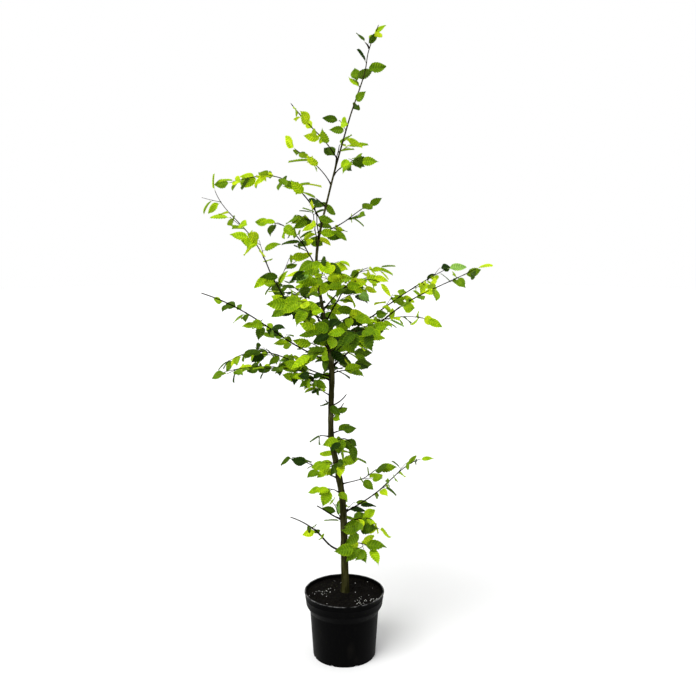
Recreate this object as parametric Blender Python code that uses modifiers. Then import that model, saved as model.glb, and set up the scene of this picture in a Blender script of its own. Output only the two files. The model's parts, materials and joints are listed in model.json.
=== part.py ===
"""A potted European hornbeam: a young tree in leaf, in a ten litre nursery pot.

Metres, +Z up. The origin is the centre of the pot's flat underside, and a viewer who
faces the plant looks along +Y, with +X to the right. The trunk stands on the compost in
the pot. Shoots leave it at named heights and headings. The thicker ones start as a bare
bough, and each ends in a mass of foliage: one stem with side twigs and leaves that are
fused on. What grows follows one seeded rule, and a twig or leaf that would touch a limb
or another mass is left out.
"""

import math
import random
from collections import namedtuple

import bmesh
import bpy
from mathutils import Matrix, Vector, noise
from mathutils.bvhtree import BVHTree

MM = 0.001
UP = Vector((0, 0, 1))

# Gap kept between two pieces that touch
SEAT = 0.3 * MM

# Pot: outer radii from the base to the rim, the heights where they lie, and its walls
BASE_RADIUS = 110 * MM
WAIST_RADIUS = 120.5 * MM
WAIST_HEIGHT = 165 * MM
COLLAR_FOOT_RADIUS = 134 * MM
COLLAR_FOOT_HEIGHT = 189 * MM
COLLAR_TOP_RADIUS = 137.5 * MM
RIM_RADIUS = 140 * MM
RIM_DEPTH = 5 * MM
POT_HEIGHT = 235 * MM
POT_WALL = 2 * MM
POT_FLOOR = 3 * MM
POT_SIDES = 36

# Drainage notches that cut the corner between the pot's wall and its floor
NOTCHES = 8
NOTCH_RADIUS = 7 * MM
NOTCH_DEPTH = 16 * MM
NOTCH_SIDES = 12

# Compost: its level top round the trunk, and how lumpy the rest is
COMPOST_TOP = 222 * MM
COMPOST_SEAT_RADIUS = 30 * MM
COMPOST_RINGS = 2
COMPOST_LUMP = 6 * MM
LUMP_SCALE = 32

# Trunk: height, offset to the right, offset to the back, diameter
TRUNK_FOOT = COMPOST_TOP + SEAT
TRUNK_TOP = 1.76
TREE_TOP = 2.141
TRUNK = [
    (TRUNK_FOOT, 0.003, 0.012, 33 * MM),
    (0.242, 0.003, 0.012, 29.5 * MM),
    (0.300, 0.002, 0.011, 26.5 * MM),
    (0.550, -0.005, 0.006, 22.5 * MM),
    (0.680, -0.024, 0.002, 20.5 * MM),
    (0.800, -0.045, -0.003, 19 * MM),
    (1.050, -0.043, 0.004, 17.5 * MM),
    (1.220, -0.070, 0.000, 11.5 * MM),
    (1.400, -0.091, -0.005, 9.4 * MM),
    (1.600, -0.052, 0.000, 6.6 * MM),
    (1.850, 0.018, 0.006, 4.8 * MM),
    (1.990, 0.066, 0.004, 3.7 * MM),
    (2.060, 0.079, 0.003, 3.0 * MM),
    (TREE_TOP, 0.111, 0.000, 2.2 * MM),
]
TRUNK_STEP = 58 * MM
TRUNK_SIDES = 10
FLARE_HEIGHTS = (TRUNK_FOOT, TRUNK_FOOT + 8 * MM, 0.242, 0.264)

# Limbs: how far apart the rings of a bough, a stem and a twig lie, and their sides
BOUGH_DIAMETER = 5 * MM
BOUGH_STEP = 30 * MM
STEM_STEP = 56 * MM
TWIG_STEP = 48 * MM
BOUGH_SIDES = 6
TWIG_SIDES = 3
TWIG_FOOT_DIAMETER = 2.8 * MM
TIP_DIAMETER = 2.4 * MM
# A three-sided twig is drawn wider, so that it is as thick as a round one
TWIG_FILL = 1.2

# Leaves: outline as share of the length and share of the width, thickness at the root and
# at the tip as share of the length, and how a blade droops and folds
LEAF_OUTLINE = ((0.34, 0.44), (0.70, 0.36))
LEAF_WIDTH = (0.56, 0.66)
LEAF_SPREAD = (0.85, 1.15)
LEAF_ROOT = 0.018
LEAF_TIP = 0.013
LEAF_DROOP = (0.04, 0.16)
LEAF_FOLD = (0.04, 0.22)

# How a leaf leaves its twig, how it hangs, and where its upper side turns
LEAF_FORK = (50, 72)
LEAF_SAG = (-0.15, 0.75)
LEAF_TILT = 0.55
LEAF_FACING = Vector((0, -0.35, 0.45))
LEAF_OUTWARDS = 0.30
TRIES = 6

# Twigs: which nodes bear one, the angle at which it leaves, and how it rises or sags
TWIG_EVERY = 3
TWIG_FORK = (42, 56)
TWIG_SAG = (-0.10, 0.16)
TWIG_GAP = 0.85
NODE_TURN = 0.7

# Room that a new leaf or twig leaves to its own mass and to everything else
OWN_ROOM = 0.6 * MM
OTHER_ROOM = 2.5 * MM
ROOT_FREE = 0.12

# Faces that meet at less than this angle are one face after the fusing
FLAT_ANGLE = math.radians(1)

# One shoot: where it leaves the trunk, its compass heading (0 is right, 90 is back), its
# length with the last leaf, its climb in degrees at even steps along it, the length that
# is bare, its diameter at the trunk, its mean leaf, the gap between leaves, its number of
# side twigs and their length, and how far its heading turns on the way
Shoot = namedtuple(
    "Shoot",
    "name foot heading length climb bare thick leaf gap twigs twig turn seed",
    defaults=(0.02, 3.8 * MM, 0.050, 0.030, 0, 0.09, 0, 1),
)

SHOOTS = [
    # The top of the crown
    Shoot("top_left", 1.719, 185, 0.228, (60, 45, 52), bare=0.04, leaf=0.047, gap=0.025,
          twigs=1, twig=0.06, seed=11),
    Shoot("top_left_low", 1.639, 170, 0.230, (62, 36, 47), bare=0.05, leaf=0.048, gap=0.029,
          twigs=1, twig=0.06, seed=12),
    Shoot("top_right", 1.667, -15, 0.165, (57, 12, -5), leaf=0.046, gap=0.025, seed=13),
    Shoot("top_back", 1.690, 80, 0.170, (58, 40, 20), leaf=0.046, gap=0.029, seed=14),
    Shoot("high_left", 1.514, 172, 0.429, (66, 41, -9, -14), bare=0.09, thick=4.8 * MM,
          leaf=0.050, gap=0.029, twigs=3, twig=0.08, turn=10, seed=15),
    Shoot("high_left_spur", 1.566, 200, 0.095, (49, 29, -17), leaf=0.048, gap=0.023, seed=16),
    Shoot("high_right", 1.486, 15, 0.245, (10, 36, 13), bare=0.05, thick=4.4 * MM,
          leaf=0.049, gap=0.029, twigs=1, twig=0.06, seed=17),
    Shoot("high_front", 1.460, 268, 0.250, (52, 30, 0), leaf=0.050, gap=0.030,
          twigs=1, twig=0.07, seed=18),
    Shoot("high_back", 1.430, 98, 0.300, (50, 34, 5), leaf=0.052, gap=0.030,
          twigs=2, twig=0.07, seed=19),

    # The middle, where the crown is at its widest and densest
    Shoot("left_rising", 1.089, 170, 0.724, (48, 49, 66, 45, 79), bare=0.12, thick=6.2 * MM,
          leaf=0.055, gap=0.030, twigs=5, twig=0.11, seed=20),
    Shoot("left_middle", 1.367, 188, 0.283, (66, 43, -37), bare=0.04, thick=4.6 * MM,
          leaf=0.060, gap=0.029, twigs=3, twig=0.09, seed=21),
    Shoot("right_middle", 1.225, 10, 0.290, (53, 39, -4, -58), bare=0.06, thick=5.0 * MM,
          leaf=0.060, gap=0.029, twigs=3, twig=0.10, seed=22),
    Shoot("right_long", 1.033, -12, 0.648, (42, 43, 26, 30), bare=0.09, thick=6.6 * MM,
          leaf=0.056, gap=0.031, twigs=4, twig=0.10, seed=23),
    Shoot("right_second", 1.105, 18, 0.550, (31, 32, 21), bare=0.08, thick=6.0 * MM,
          leaf=0.056, gap=0.030, twigs=4, twig=0.10, seed=24),
    Shoot("left_reaching", 1.049, 200, 0.500, (23, 36, 20), bare=0.11, thick=5.2 * MM,
          leaf=0.050, gap=0.034, twigs=2, twig=0.09, seed=25),
    Shoot("left_arching", 1.000, 166, 0.424, (9, 24, -5, -54), bare=0.07, thick=5.0 * MM,
          leaf=0.054, gap=0.029, twigs=4, twig=0.09, seed=26),
    Shoot("left_spreading", 0.986, 192, 0.416, (24, 6, -20), bare=0.07, thick=5.0 * MM,
          leaf=0.054, gap=0.029, twigs=4, twig=0.09, seed=27),
    Shoot("left_short", 0.934, 205, 0.115, (40, 26, -25), leaf=0.052, gap=0.024, seed=28),
    Shoot("right_short", 1.010, -38, 0.150, (26, 0, -60), leaf=0.066, gap=0.030, seed=29),
    Shoot("front_right", 1.075, 300, 0.340, (45, 22, -20), bare=0.06, thick=5.2 * MM,
          leaf=0.066, gap=0.030, twigs=3, twig=0.10, seed=30),
    Shoot("front_left", 1.155, 245, 0.350, (42, 24, -18), bare=0.06, thick=5.0 * MM,
          leaf=0.062, gap=0.030, twigs=3, twig=0.10, seed=31),
    Shoot("front_high", 1.290, 278, 0.300, (50, 26, -10), bare=0.03, thick=4.6 * MM,
          leaf=0.058, gap=0.030, twigs=2, twig=0.08, seed=32),
    Shoot("back_left", 1.130, 118, 0.420, (40, 26, -8), bare=0.07, thick=5.4 * MM,
          leaf=0.058, gap=0.030, twigs=4, twig=0.10, seed=33),
    Shoot("back_right", 1.180, 62, 0.420, (42, 28, -6), bare=0.07, thick=5.4 * MM,
          leaf=0.058, gap=0.030, twigs=4, twig=0.10, seed=34),
    Shoot("back_low", 0.975, 85, 0.320, (30, 12, -20), bare=0.04, thick=4.8 * MM,
          leaf=0.058, gap=0.030, twigs=2, twig=0.08, seed=35),

    # Short leafy shoots close to the trunk, in the heart of the crown
    Shoot("heart_front", 1.120, 274, 0.175, (38, 14, -30), leaf=0.068, gap=0.030, seed=50),
    Shoot("heart_left", 1.185, 212, 0.185, (44, 20, -20), leaf=0.064, gap=0.029,
          twigs=1, twig=0.06, seed=51),
    Shoot("heart_right", 1.150, -28, 0.190, (46, 24, -16), leaf=0.068, gap=0.030,
          twigs=1, twig=0.06, seed=52),
    Shoot("heart_back", 1.060, 140, 0.180, (40, 16, -20), leaf=0.062, gap=0.030, seed=53),
    Shoot("heart_high", 1.285, -40, 0.170, (52, 30, -10), leaf=0.058, gap=0.029, seed=54),

    # The sparse shoots lower down
    Shoot("low_spur_front", 0.767, -40, 0.150, (40, 17, -44, -43), leaf=0.058, gap=0.022,
          twigs=2, twig=0.05, seed=36),
    Shoot("low_spur_left", 0.693, 205, 0.080, (-5, -26, -19), leaf=0.046, gap=0.024, seed=37),
    Shoot("low_right_short", 0.620, 24, 0.203, (6, 7, 32, -49), bare=0.06, leaf=0.050,
          gap=0.026, twigs=1, twig=0.05, seed=38),
    Shoot("low_right_long", 0.517, -8, 0.387, (29, 36, 46, 36, -10), bare=0.11, thick=5.4 * MM,
          leaf=0.049, gap=0.028, twigs=3, twig=0.08, seed=39),
    Shoot("low_left", 0.641, 175, 0.232, (20, 28, -9), bare=0.05, thick=4.2 * MM,
          leaf=0.047, gap=0.026, twigs=1, twig=0.06, seed=40),
    Shoot("low_front", 0.590, 235, 0.130, (14, 33, -38, -65), leaf=0.056, gap=0.022,
          twigs=1, twig=0.05, seed=41),
    Shoot("low_back", 0.640, 95, 0.260, (30, 20, -14), leaf=0.052, gap=0.030,
          twigs=2, twig=0.07, seed=42),
    Shoot("stub_left", 0.490, 185, 0.108, (19, 34, 31), bare=0.108, thick=5.6 * MM),
    Shoot("foot_left", 0.377, 190, 0.233, (6, 50, 38, 22), bare=0.12, thick=4.6 * MM,
          leaf=0.044, gap=0.025, seed=44),
    Shoot("foot_right", 0.466, -20, 0.176, (54, 17, -5, -68), leaf=0.060, gap=0.027,
          twigs=2, twig=0.05, seed=45),
    Shoot("foot_drooping", 0.387, -35, 0.259, (51, 55, 25, -18, -70), bare=0.04, leaf=0.072,
          gap=0.028, twigs=3, twig=0.05, seed=46),
    Shoot("foot_back", 0.450, 110, 0.200, (45, 20, -20), leaf=0.058, gap=0.031, seed=47),
]
LEADER = Shoot("leader", TRUNK_TOP, 0, TREE_TOP - TRUNK_TOP, (), leaf=0.047, gap=0.026,
               twigs=4, twig=0.045, seed=10)

# Colours and gloss: name, base colour, roughness
BLACK_PLASTIC = ("pot plastic", (0.012, 0.012, 0.013, 1), 0.45)
DARK_COMPOST = ("compost", (0.018, 0.013, 0.009, 1), 0.95)
BARK = ("bark", (0.075, 0.066, 0.040, 1), 0.80)
LEAF_GREENS = (
    ("leaf mid green", (0.120, 0.300, 0.020, 1), 0.50),
    ("leaf light green", (0.300, 0.520, 0.020, 1), 0.50),
    ("leaf dark green", (0.040, 0.130, 0.012, 1), 0.50),
)


# Scene, materials and finishing

def clear_scene():
    """Removes every object, so that the script always starts from nothing."""
    for leftover in list(bpy.data.objects):
        bpy.data.objects.remove(leftover, do_unlink=True)


def new_collection(name):
    group = bpy.data.collections.new(name)
    bpy.context.scene.collection.children.link(group)
    return group


def material(recipe):
    """A Principled material from a name, a base colour and a roughness."""
    name, colour, roughness = recipe
    found = bpy.data.materials.get(name)
    if found:
        return found
    made = bpy.data.materials.new(name)
    made.use_nodes = True
    shader = made.node_tree.nodes["Principled BSDF"]
    shader.inputs["Base Color"].default_value = colour
    shader.inputs["Roughness"].default_value = roughness
    shader.inputs["Metallic"].default_value = 0.0
    made.diffuse_color = colour
    return made


def dress(thing, recipe, sharp_angle=40):
    """Gives a piece its only material and smooth shading between sharp edges."""
    thing.data.materials.clear()
    thing.data.materials.append(material(recipe))
    thing.data.shade_smooth()
    thing.data.set_sharp_from_angle(angle=math.radians(sharp_angle))


def add_mesh(name, mesh, group):
    thing = bpy.data.objects.new(name, mesh)
    group.objects.link(thing)
    return thing


def keep_from_render(thing):
    """Marks a cutter or a guide, which is not part of the plant."""
    thing.hide_render = True
    thing.display_type = "WIRE"


def bake(thing):
    """Replaces a piece's mesh by what its modifiers make of it."""
    graph = bpy.context.evaluated_depsgraph_get()
    mesh = bpy.data.meshes.new_from_object(thing.evaluated_get(graph))
    thing.modifiers.clear()
    thing.data = mesh
    mesh.name = thing.name


# Turned pieces: the pot and its compost

def turned(name, profile, group):
    """A solid of revolution from a profile of radius and height, down its outer side."""
    outline = bpy.data.meshes.new(name)
    corners = [(radius, 0, height) for radius, height in profile]
    edges = [(index, index + 1) for index in range(len(corners) - 1)]
    outline.from_pydata(corners, edges, [])
    thing = add_mesh(name, outline, group)
    screw = thing.modifiers.new("Turned", "SCREW")
    screw.steps = POT_SIDES
    screw.render_steps = POT_SIDES
    screw.use_merge_vertices = True
    screw.merge_threshold = 0.02 * MM
    return thing


def pot_wall():
    """The pot's outer wall as radius and height, from the base up to the rim's foot."""
    return [
        (BASE_RADIUS, 0),
        (WAIST_RADIUS, WAIST_HEIGHT),
        (COLLAR_FOOT_RADIUS, COLLAR_FOOT_HEIGHT),
        (COLLAR_TOP_RADIUS, POT_HEIGHT - RIM_DEPTH),
    ]


def inside_radius(height):
    """The pot's inner radius at a height."""
    wall = pot_wall()
    for (low_radius, low), (high_radius, high) in zip(wall, wall[1:]):
        if height <= high:
            share = (height - low) / (high - low)
            return low_radius + share * (high_radius - low_radius) - POT_WALL
    return wall[-1][0] - POT_WALL


def make_notches(cutters):
    """Short rods that lie across the corner of the pot's base, to cut its drainage."""
    notches = bpy.data.collections.new("drainage notches")
    cutters.children.link(notches)
    for index in range(NOTCHES):
        angle = 2 * math.pi * (index + 0.5) / NOTCHES
        bpy.ops.mesh.primitive_cylinder_add(
            vertices=NOTCH_SIDES,
            radius=NOTCH_RADIUS,
            depth=NOTCH_DEPTH,
            location=(BASE_RADIUS * math.cos(angle), BASE_RADIUS * math.sin(angle), 0),
            rotation=(0, math.pi / 2, angle),
        )
        notch = bpy.context.object
        notch.name = f"drainage notch {index + 1}"
        for home in list(notch.users_collection):
            home.objects.unlink(notch)
        notches.objects.link(notch)
        keep_from_render(notch)
    return notches


def make_pot(group, cutters):
    """A tapered pot with a wider collar, a rim, and drainage notches round its base."""
    inner = [(0, POT_FLOOR), (inside_radius(POT_FLOOR), POT_FLOOR)]
    inner += [(radius - POT_WALL, height) for radius, height in pot_wall()[1:]]
    rim = [
        (COLLAR_TOP_RADIUS - POT_WALL, POT_HEIGHT),
        (RIM_RADIUS, POT_HEIGHT),
        (RIM_RADIUS, POT_HEIGHT - RIM_DEPTH),
    ]
    outer = list(reversed(pot_wall())) + [(0, 0)]
    pot = turned("pot", inner + rim + outer, group)
    cut = pot.modifiers.new("Drainage", "BOOLEAN")
    cut.operation = "DIFFERENCE"
    cut.operand_type = "COLLECTION"
    cut.collection = make_notches(cutters)
    bake(pot)
    dress(pot, BLACK_PLASTIC, sharp_angle=30)


def make_compost(group):
    """The compost that fills the pot, level where the trunk stands and lumpy round it."""
    edge = inside_radius(COMPOST_TOP) - SEAT
    profile = [(0, COMPOST_TOP), (COMPOST_SEAT_RADIUS, COMPOST_TOP)]
    for ring in range(1, COMPOST_RINGS + 1):
        share = ring / (COMPOST_RINGS + 1)
        profile.append((COMPOST_SEAT_RADIUS + share * (edge - COMPOST_SEAT_RADIUS), COMPOST_TOP))
    profile.append((edge, COMPOST_TOP))
    for radius, height in reversed(pot_wall()[1:3]):
        profile.append((radius - POT_WALL - SEAT, height))
    foot = POT_FLOOR + SEAT
    profile += [(inside_radius(foot) - SEAT, foot), (0, foot)]
    compost = turned("compost", profile, group)
    bake(compost)
    for vertex in compost.data.vertices:
        radius = vertex.co.xy.length
        lumpy = COMPOST_SEAT_RADIUS + MM < radius < edge - MM
        if lumpy and vertex.co.z > COMPOST_TOP - MM:
            vertex.co.z += COMPOST_LUMP * noise.noise(vertex.co * LUMP_SCALE)
    dress(compost, DARK_COMPOST)


# Smooth paths

def smooth(keys, values, place):
    """A smooth curve through values at rising keys, read at one place."""
    index = 0
    while index < len(keys) - 2 and place > keys[index + 1]:
        index += 1

    def slope(key):
        before = max(key - 1, 0)
        after = min(key + 1, len(keys) - 1)
        return (values[after] - values[before]) / (keys[after] - keys[before])

    span = keys[index + 1] - keys[index]
    t = (place - keys[index]) / span
    start = values[index] * (2 * t ** 3 - 3 * t ** 2 + 1)
    leave = slope(index) * span * (t ** 3 - 2 * t ** 2 + t)
    end = values[index + 1] * (3 * t ** 2 - 2 * t ** 3)
    arrive = slope(index + 1) * span * (t ** 3 - t ** 2)
    return start + leave + end + arrive


def trunk_column(column, height):
    return smooth([row[0] for row in TRUNK], [row[column] for row in TRUNK], height)


def trunk_point(height):
    return Vector((trunk_column(1, height), trunk_column(2, height), height))


def trunk_radius(height):
    return trunk_column(3, height) / 2


def trunk_heights(low, high):
    """Heights of the trunk's rings, closer together in the root flare."""
    flare = [height for height in FLARE_HEIGHTS if low <= height < high]
    start = flare[-1] if flare else low
    count = max(2, round((high - start) / TRUNK_STEP))
    even = [start + (high - start) * index / count for index in range(count + 1)]
    return flare[:-1] + even


def shoot_axis(shoot):
    """A shoot's axis as points close together, from the middle of the trunk to its tip."""
    steps = max(12, round(shoot.length / (10 * MM)))
    keys = [index / (len(shoot.climb) - 1) for index in range(len(shoot.climb))]
    point = trunk_point(shoot.foot)
    points = [point]
    for step in range(steps):
        share = (step + 0.5) / steps
        climb = math.radians(smooth(keys, shoot.climb, share))
        heading = math.radians(shoot.heading + shoot.turn * share)
        level = Vector((math.cos(heading), math.sin(heading), 0)) * math.cos(climb)
        point = point + (level + UP * math.sin(climb)) * shoot.length / steps
        points.append(point)
    return points


def path_length(points):
    return sum((after - before).length for before, after in zip(points, points[1:]))


def along(points, distance):
    """The point at a distance along a path, and the path's direction there."""
    for before, after in zip(points, points[1:]):
        step = (after - before).length
        if distance <= step:
            return before.lerp(after, distance / step), (after - before).normalized()
        distance -= step
    direction = (points[-1] - points[-2]).normalized()
    return points[-1] + direction * distance, direction


def stretch(points, start, end, step):
    """Even points on a stretch of a path, and their distances along the path."""
    count = max(2, round((end - start) / step))
    places = [start + (end - start) * index / count for index in range(count + 1)]
    return [along(points, place)[0] for place in places], places


# Limbs, as tubes along a path

def ring_of(sides, guides):
    """A unit circle of a few sides, which tubes take as their section."""
    name = f"ring of {sides}"
    found = bpy.data.objects.get(name)
    if found:
        return found
    curve = bpy.data.curves.new(name, "CURVE")
    curve.dimensions = "2D"
    spline = curve.splines.new("POLY")
    spline.points.add(sides - 1)
    for index, place in enumerate(spline.points):
        angle = 2 * math.pi * index / sides
        place.co = (math.cos(angle), math.sin(angle), 0, 1)
    spline.use_cyclic_u = True
    ring = bpy.data.objects.new(name, curve)
    guides.objects.link(ring)
    keep_from_render(ring)
    return ring


def tube(name, points, radii, ring, group):
    """A closed tube along a path, with its own radius at each point."""
    curve = bpy.data.curves.new(name, "CURVE")
    curve.dimensions = "3D"
    curve.bevel_mode = "OBJECT"
    curve.bevel_object = ring
    curve.use_fill_caps = True
    spline = curve.splines.new("POLY")
    spline.points.add(len(points) - 1)
    for place, point, radius in zip(spline.points, points, radii):
        place.co = (*point, 1)
        place.radius = radius
    route = bpy.data.objects.new(name, curve)
    group.objects.link(route)
    graph = bpy.context.evaluated_depsgraph_get()
    mesh = bpy.data.meshes.new_from_object(route.evaluated_get(graph))
    bpy.data.objects.remove(route)
    bpy.data.curves.remove(curve)

    welded = bmesh.new()
    welded.from_mesh(mesh)
    bmesh.ops.remove_doubles(welded, verts=welded.verts, dist=0.01 * MM)
    bmesh.ops.recalc_face_normals(welded, faces=welded.faces)
    welded.to_mesh(mesh)
    welded.free()
    mesh.name = name
    return add_mesh(name, mesh, group)


def trunk_tube(name, grown_by, group, guides):
    """The trunk's tube, or with its radius grown a cutter for what meets it."""
    heights = trunk_heights(TRUNK_FOOT, TRUNK_TOP)
    points = [trunk_point(height) for height in heights]
    radii = [trunk_radius(height) + grown_by for height in heights]
    return tube(name, points, radii, ring_of(TRUNK_SIDES, guides), group)


def cut_clear(limb, cutter):
    """Cuts a limb's root off along the trunk's bark, a seat's gap away from it."""
    cut = limb.modifiers.new("Clear of trunk", "BOOLEAN")
    cut.operation = "DIFFERENCE"
    cut.object = cutter
    bake(limb)


def shoot_radii(shoot, places):
    """A shoot's radius at distances along it, tapering from the trunk to the tip."""
    foot = shoot.thick / 2
    tip = TIP_DIAMETER / 2
    return [foot + (tip - foot) * min(1, place / shoot.length) for place in places]


# What has grown so far, so that the next leaf stays clear of it

class Grown:
    """One grown piece: its surface, some points on it, and the mass that it is in."""

    def __init__(self, corners, faces, mass):
        self.tree = BVHTree.FromPolygons(corners, faces)
        middles = [sum((corners[index] for index in face), Vector()) / len(face) for face in faces]
        self.points = corners + middles
        self.centre = sum(self.points, Vector()) / len(self.points)
        self.reach = max((point - self.centre).length for point in self.points)
        self.mass = mass


def grown_limb(mesh, mass):
    corners = [vertex.co.copy() for vertex in mesh.vertices]
    return Grown(corners, [tuple(face.vertices) for face in mesh.polygons], mass)


def near(first, second, room):
    """Whether two grown pieces cross or come closer than the room between them."""
    if (first.centre - second.centre).length > first.reach + second.reach + room:
        return False
    if first.tree.overlap(second.tree):
        return True
    for points, tree in ((first.points, second.tree), (second.points, first.tree)):
        if any(tree.find_nearest(point, room)[0] is not None for point in points):
            return True
    return False


def fits(piece, grown, carrier):
    """Whether a piece stays clear of all that has grown, apart from what carries it."""
    for other in grown:
        room = OWN_ROOM if other.mass == piece.mass else OTHER_ROOM
        if other is not carrier and near(piece, other, room):
            return False
    return True


# Leaves and twigs

Leaf = namedtuple("Leaf", "root direction normal length width droop fold")
Carrier = namedtuple("Carrier", "points start end gap grown")


def leaf_shape(leaf):
    """A thin leaf as the hull of its outline, then bent, and turned to where it grows."""
    corners = []
    for side in (-1, 1):
        corners.append((0, 0, side * LEAF_ROOT * leaf.length / 2))
        corners.append((0, leaf.length, side * LEAF_TIP * leaf.length / 2))
        for share, spread in LEAF_OUTLINE:
            corners.append((side * spread * leaf.width, share * leaf.length, 0))
    shape = bmesh.new()
    for corner in corners:
        shape.verts.new(corner)
    bmesh.ops.convex_hull(shape, input=shape.verts)
    bmesh.ops.recalc_face_normals(shape, faces=shape.faces)
    for vertex in shape.verts:
        share = vertex.co.y / leaf.length
        vertex.co.z += leaf.fold * abs(vertex.co.x) - leaf.droop * leaf.length * share ** 2
    across = leaf.direction.cross(leaf.normal).normalized()
    normal = across.cross(leaf.direction)
    turn = Matrix((across, leaf.direction, normal)).transposed().to_4x4()
    shape.transform(Matrix.Translation(leaf.root) @ turn)
    return shape


def grown_leaf(shape, leaf, mass):
    """A leaf for the tests of room, without its root, which is sunk in its twig."""
    shape.verts.index_update()
    free = leaf.direction * ROOT_FREE * leaf.length
    corners = []
    for vertex in shape.verts:
        rooted = (vertex.co - leaf.root).length < LEAF_ROOT * leaf.length
        corners.append(vertex.co + free if rooted else vertex.co.copy())
    return Grown(corners, [tuple(vertex.index for vertex in face.verts) for face in shape.faces], mass)


def sideways(direction, turn):
    """A direction square to a stem: level for a level stem, turned for an upright one."""
    if abs(direction.z) < 0.8:
        return direction.cross(UP).normalized()
    level = Vector((math.cos(turn), math.sin(turn), 0))
    return (level - direction * level.dot(direction)).normalized()


def leaf_at(root, direction, side, shoot, chance):
    """One try at a leaf: it leaves to one side, or straight on where side is zero."""
    fork = math.radians(chance.uniform(*LEAF_FORK)) if side.length else 0.0
    aim = direction * math.cos(fork) + side * math.sin(fork)
    aim -= UP * chance.uniform(*LEAF_SAG)
    outwards = Vector((root.x, root.y, 0)).normalized()
    tilt = Vector([chance.uniform(-LEAF_TILT, LEAF_TILT) for _ in range(3)])
    normal = LEAF_FACING + outwards * LEAF_OUTWARDS + tilt
    length = shoot.leaf * chance.uniform(*LEAF_SPREAD)
    width = length * chance.uniform(*LEAF_WIDTH)
    droop = chance.uniform(*LEAF_DROOP)
    fold = chance.uniform(*LEAF_FOLD)
    return Leaf(root, aim.normalized(), normal, length, width, droop, fold)


def nodes(carrier, turn):
    """The places on a twig that bear a leaf or a twig, on alternate sides of it."""
    count = max(1, int((carrier.end - carrier.start) / carrier.gap))
    for index in range(count):
        place = carrier.start + carrier.gap * (index + 0.5)
        point, direction = along(carrier.points, place)
        side = sideways(direction, turn + NODE_TURN * index)
        yield index, place, point, direction, side if index % 2 else -side


def twig_axis(root, direction, length, sag):
    """A side twig's axis, which bends a little up or down on its way."""
    steps = max(2, round(length / TWIG_STEP))
    points = [root]
    for step in range(steps):
        aim = (direction - UP * sag * step / steps).normalized()
        points.append(points[-1] + aim * length / steps)
    return points


class Mass:
    """One mass of foliage: a stem, with the twigs and leaves that are fused to it."""

    def __init__(self, shoot, stem, points, start, end, guides):
        self.shoot = shoot
        self.stem = stem
        self.guides = guides
        self.chance = random.Random(shoot.seed)
        self.grown = grown_limb(stem.data, shoot.name)
        self.carrier = Carrier(points, start, end, shoot.gap, self.grown)
        self.parts = None

    def grow(self, grown):
        """Grows the twigs, then the leaves on stem and twigs, and fuses them all."""
        self.parts = new_collection(f"{self.shoot.name} parts")
        turn = self.chance.uniform(0, math.pi)
        twigs = {}
        for index, place, point, direction, side in nodes(self.carrier, turn):
            if index % TWIG_EVERY == 1 and len(twigs) < self.shoot.twigs:
                share = place / self.carrier.end
                twig = self.grow_twig(point, direction, side, share, grown)
                if twig:
                    twigs[index] = twig
        leaves = self.grow_leaves(self.carrier, twigs, turn, grown)
        for twig in twigs.values():
            leaves += self.grow_leaves(twig, (), turn, grown)
        self.fuse()
        return leaves

    def grow_twig(self, root, direction, side, share, grown):
        """One side twig, or nothing where it would not stay clear."""
        for _ in range(TRIES):
            fork = math.radians(self.chance.uniform(*TWIG_FORK))
            aim = direction * math.cos(fork) + side * math.sin(fork)
            length = self.shoot.twig * (1.1 - 0.5 * share) * self.chance.uniform(0.85, 1.15)
            points = twig_axis(root, aim, length, self.chance.uniform(*TWIG_SAG))
            foot = TWIG_FILL * TWIG_FOOT_DIAMETER / 2
            tip = TWIG_FILL * TIP_DIAMETER / 2
            radii = [foot] + [tip] * (len(points) - 1)
            twig = tube("twig", points, radii, ring_of(TWIG_SIDES, self.guides), self.parts)
            held = grown_limb(twig.data, self.shoot.name)
            if fits(held, grown, self.grown):
                grown.append(held)
                gap = TWIG_GAP * self.shoot.gap
                return Carrier(points, 0.35 * gap, length - 2 * MM, gap, held)
            bpy.data.objects.remove(twig)
        return None

    def grow_leaves(self, carrier, taken, turn, grown):
        """The leaves of one twig, with one at its tip, and how many found room."""
        count = 0
        for index, _, point, direction, side in nodes(carrier, turn):
            if index not in taken:
                count += self.grow_leaf(point, direction, side, carrier, grown)
        tip, direction = along(carrier.points, carrier.end)
        return count + self.grow_leaf(tip, direction, Vector(), carrier, grown)

    def grow_leaf(self, root, direction, side, carrier, grown):
        """One leaf, and whether it found room."""
        for _ in range(TRIES):
            leaf = leaf_at(root, direction, side, self.shoot, self.chance)
            shape = leaf_shape(leaf)
            held = grown_leaf(shape, leaf, self.shoot.name)
            free = fits(held, grown, None)
            if free:
                mesh = bpy.data.meshes.new("leaf")
                shape.to_mesh(mesh)
                add_mesh("leaf", mesh, self.parts)
                grown.append(held)
            shape.free()
            if free:
                return True
        return False

    def fuse(self):
        """Joins the twigs and leaves to the stem with one union."""
        joint = self.stem.modifiers.new("Fused", "BOOLEAN")
        joint.operation = "UNION"
        joint.operand_type = "COLLECTION"
        joint.collection = self.parts
        bake(self.stem)
        for part in list(self.parts.objects):
            bpy.data.objects.remove(part)
        bpy.data.collections.remove(self.parts)
        tidy_skin(self.stem.data)
        dress(self.stem, LEAF_GREENS[self.shoot.seed % len(LEAF_GREENS)])


def body_volume(faces):
    """The volume inside some faces: below zero where they face into a sealed hollow."""
    total = 0.0
    for face in faces:
        first = face.verts[0].co
        for second, third in zip(face.verts[1:], face.verts[2:]):
            total += first.dot(second.co.cross(third.co)) / 6
    return total


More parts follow.
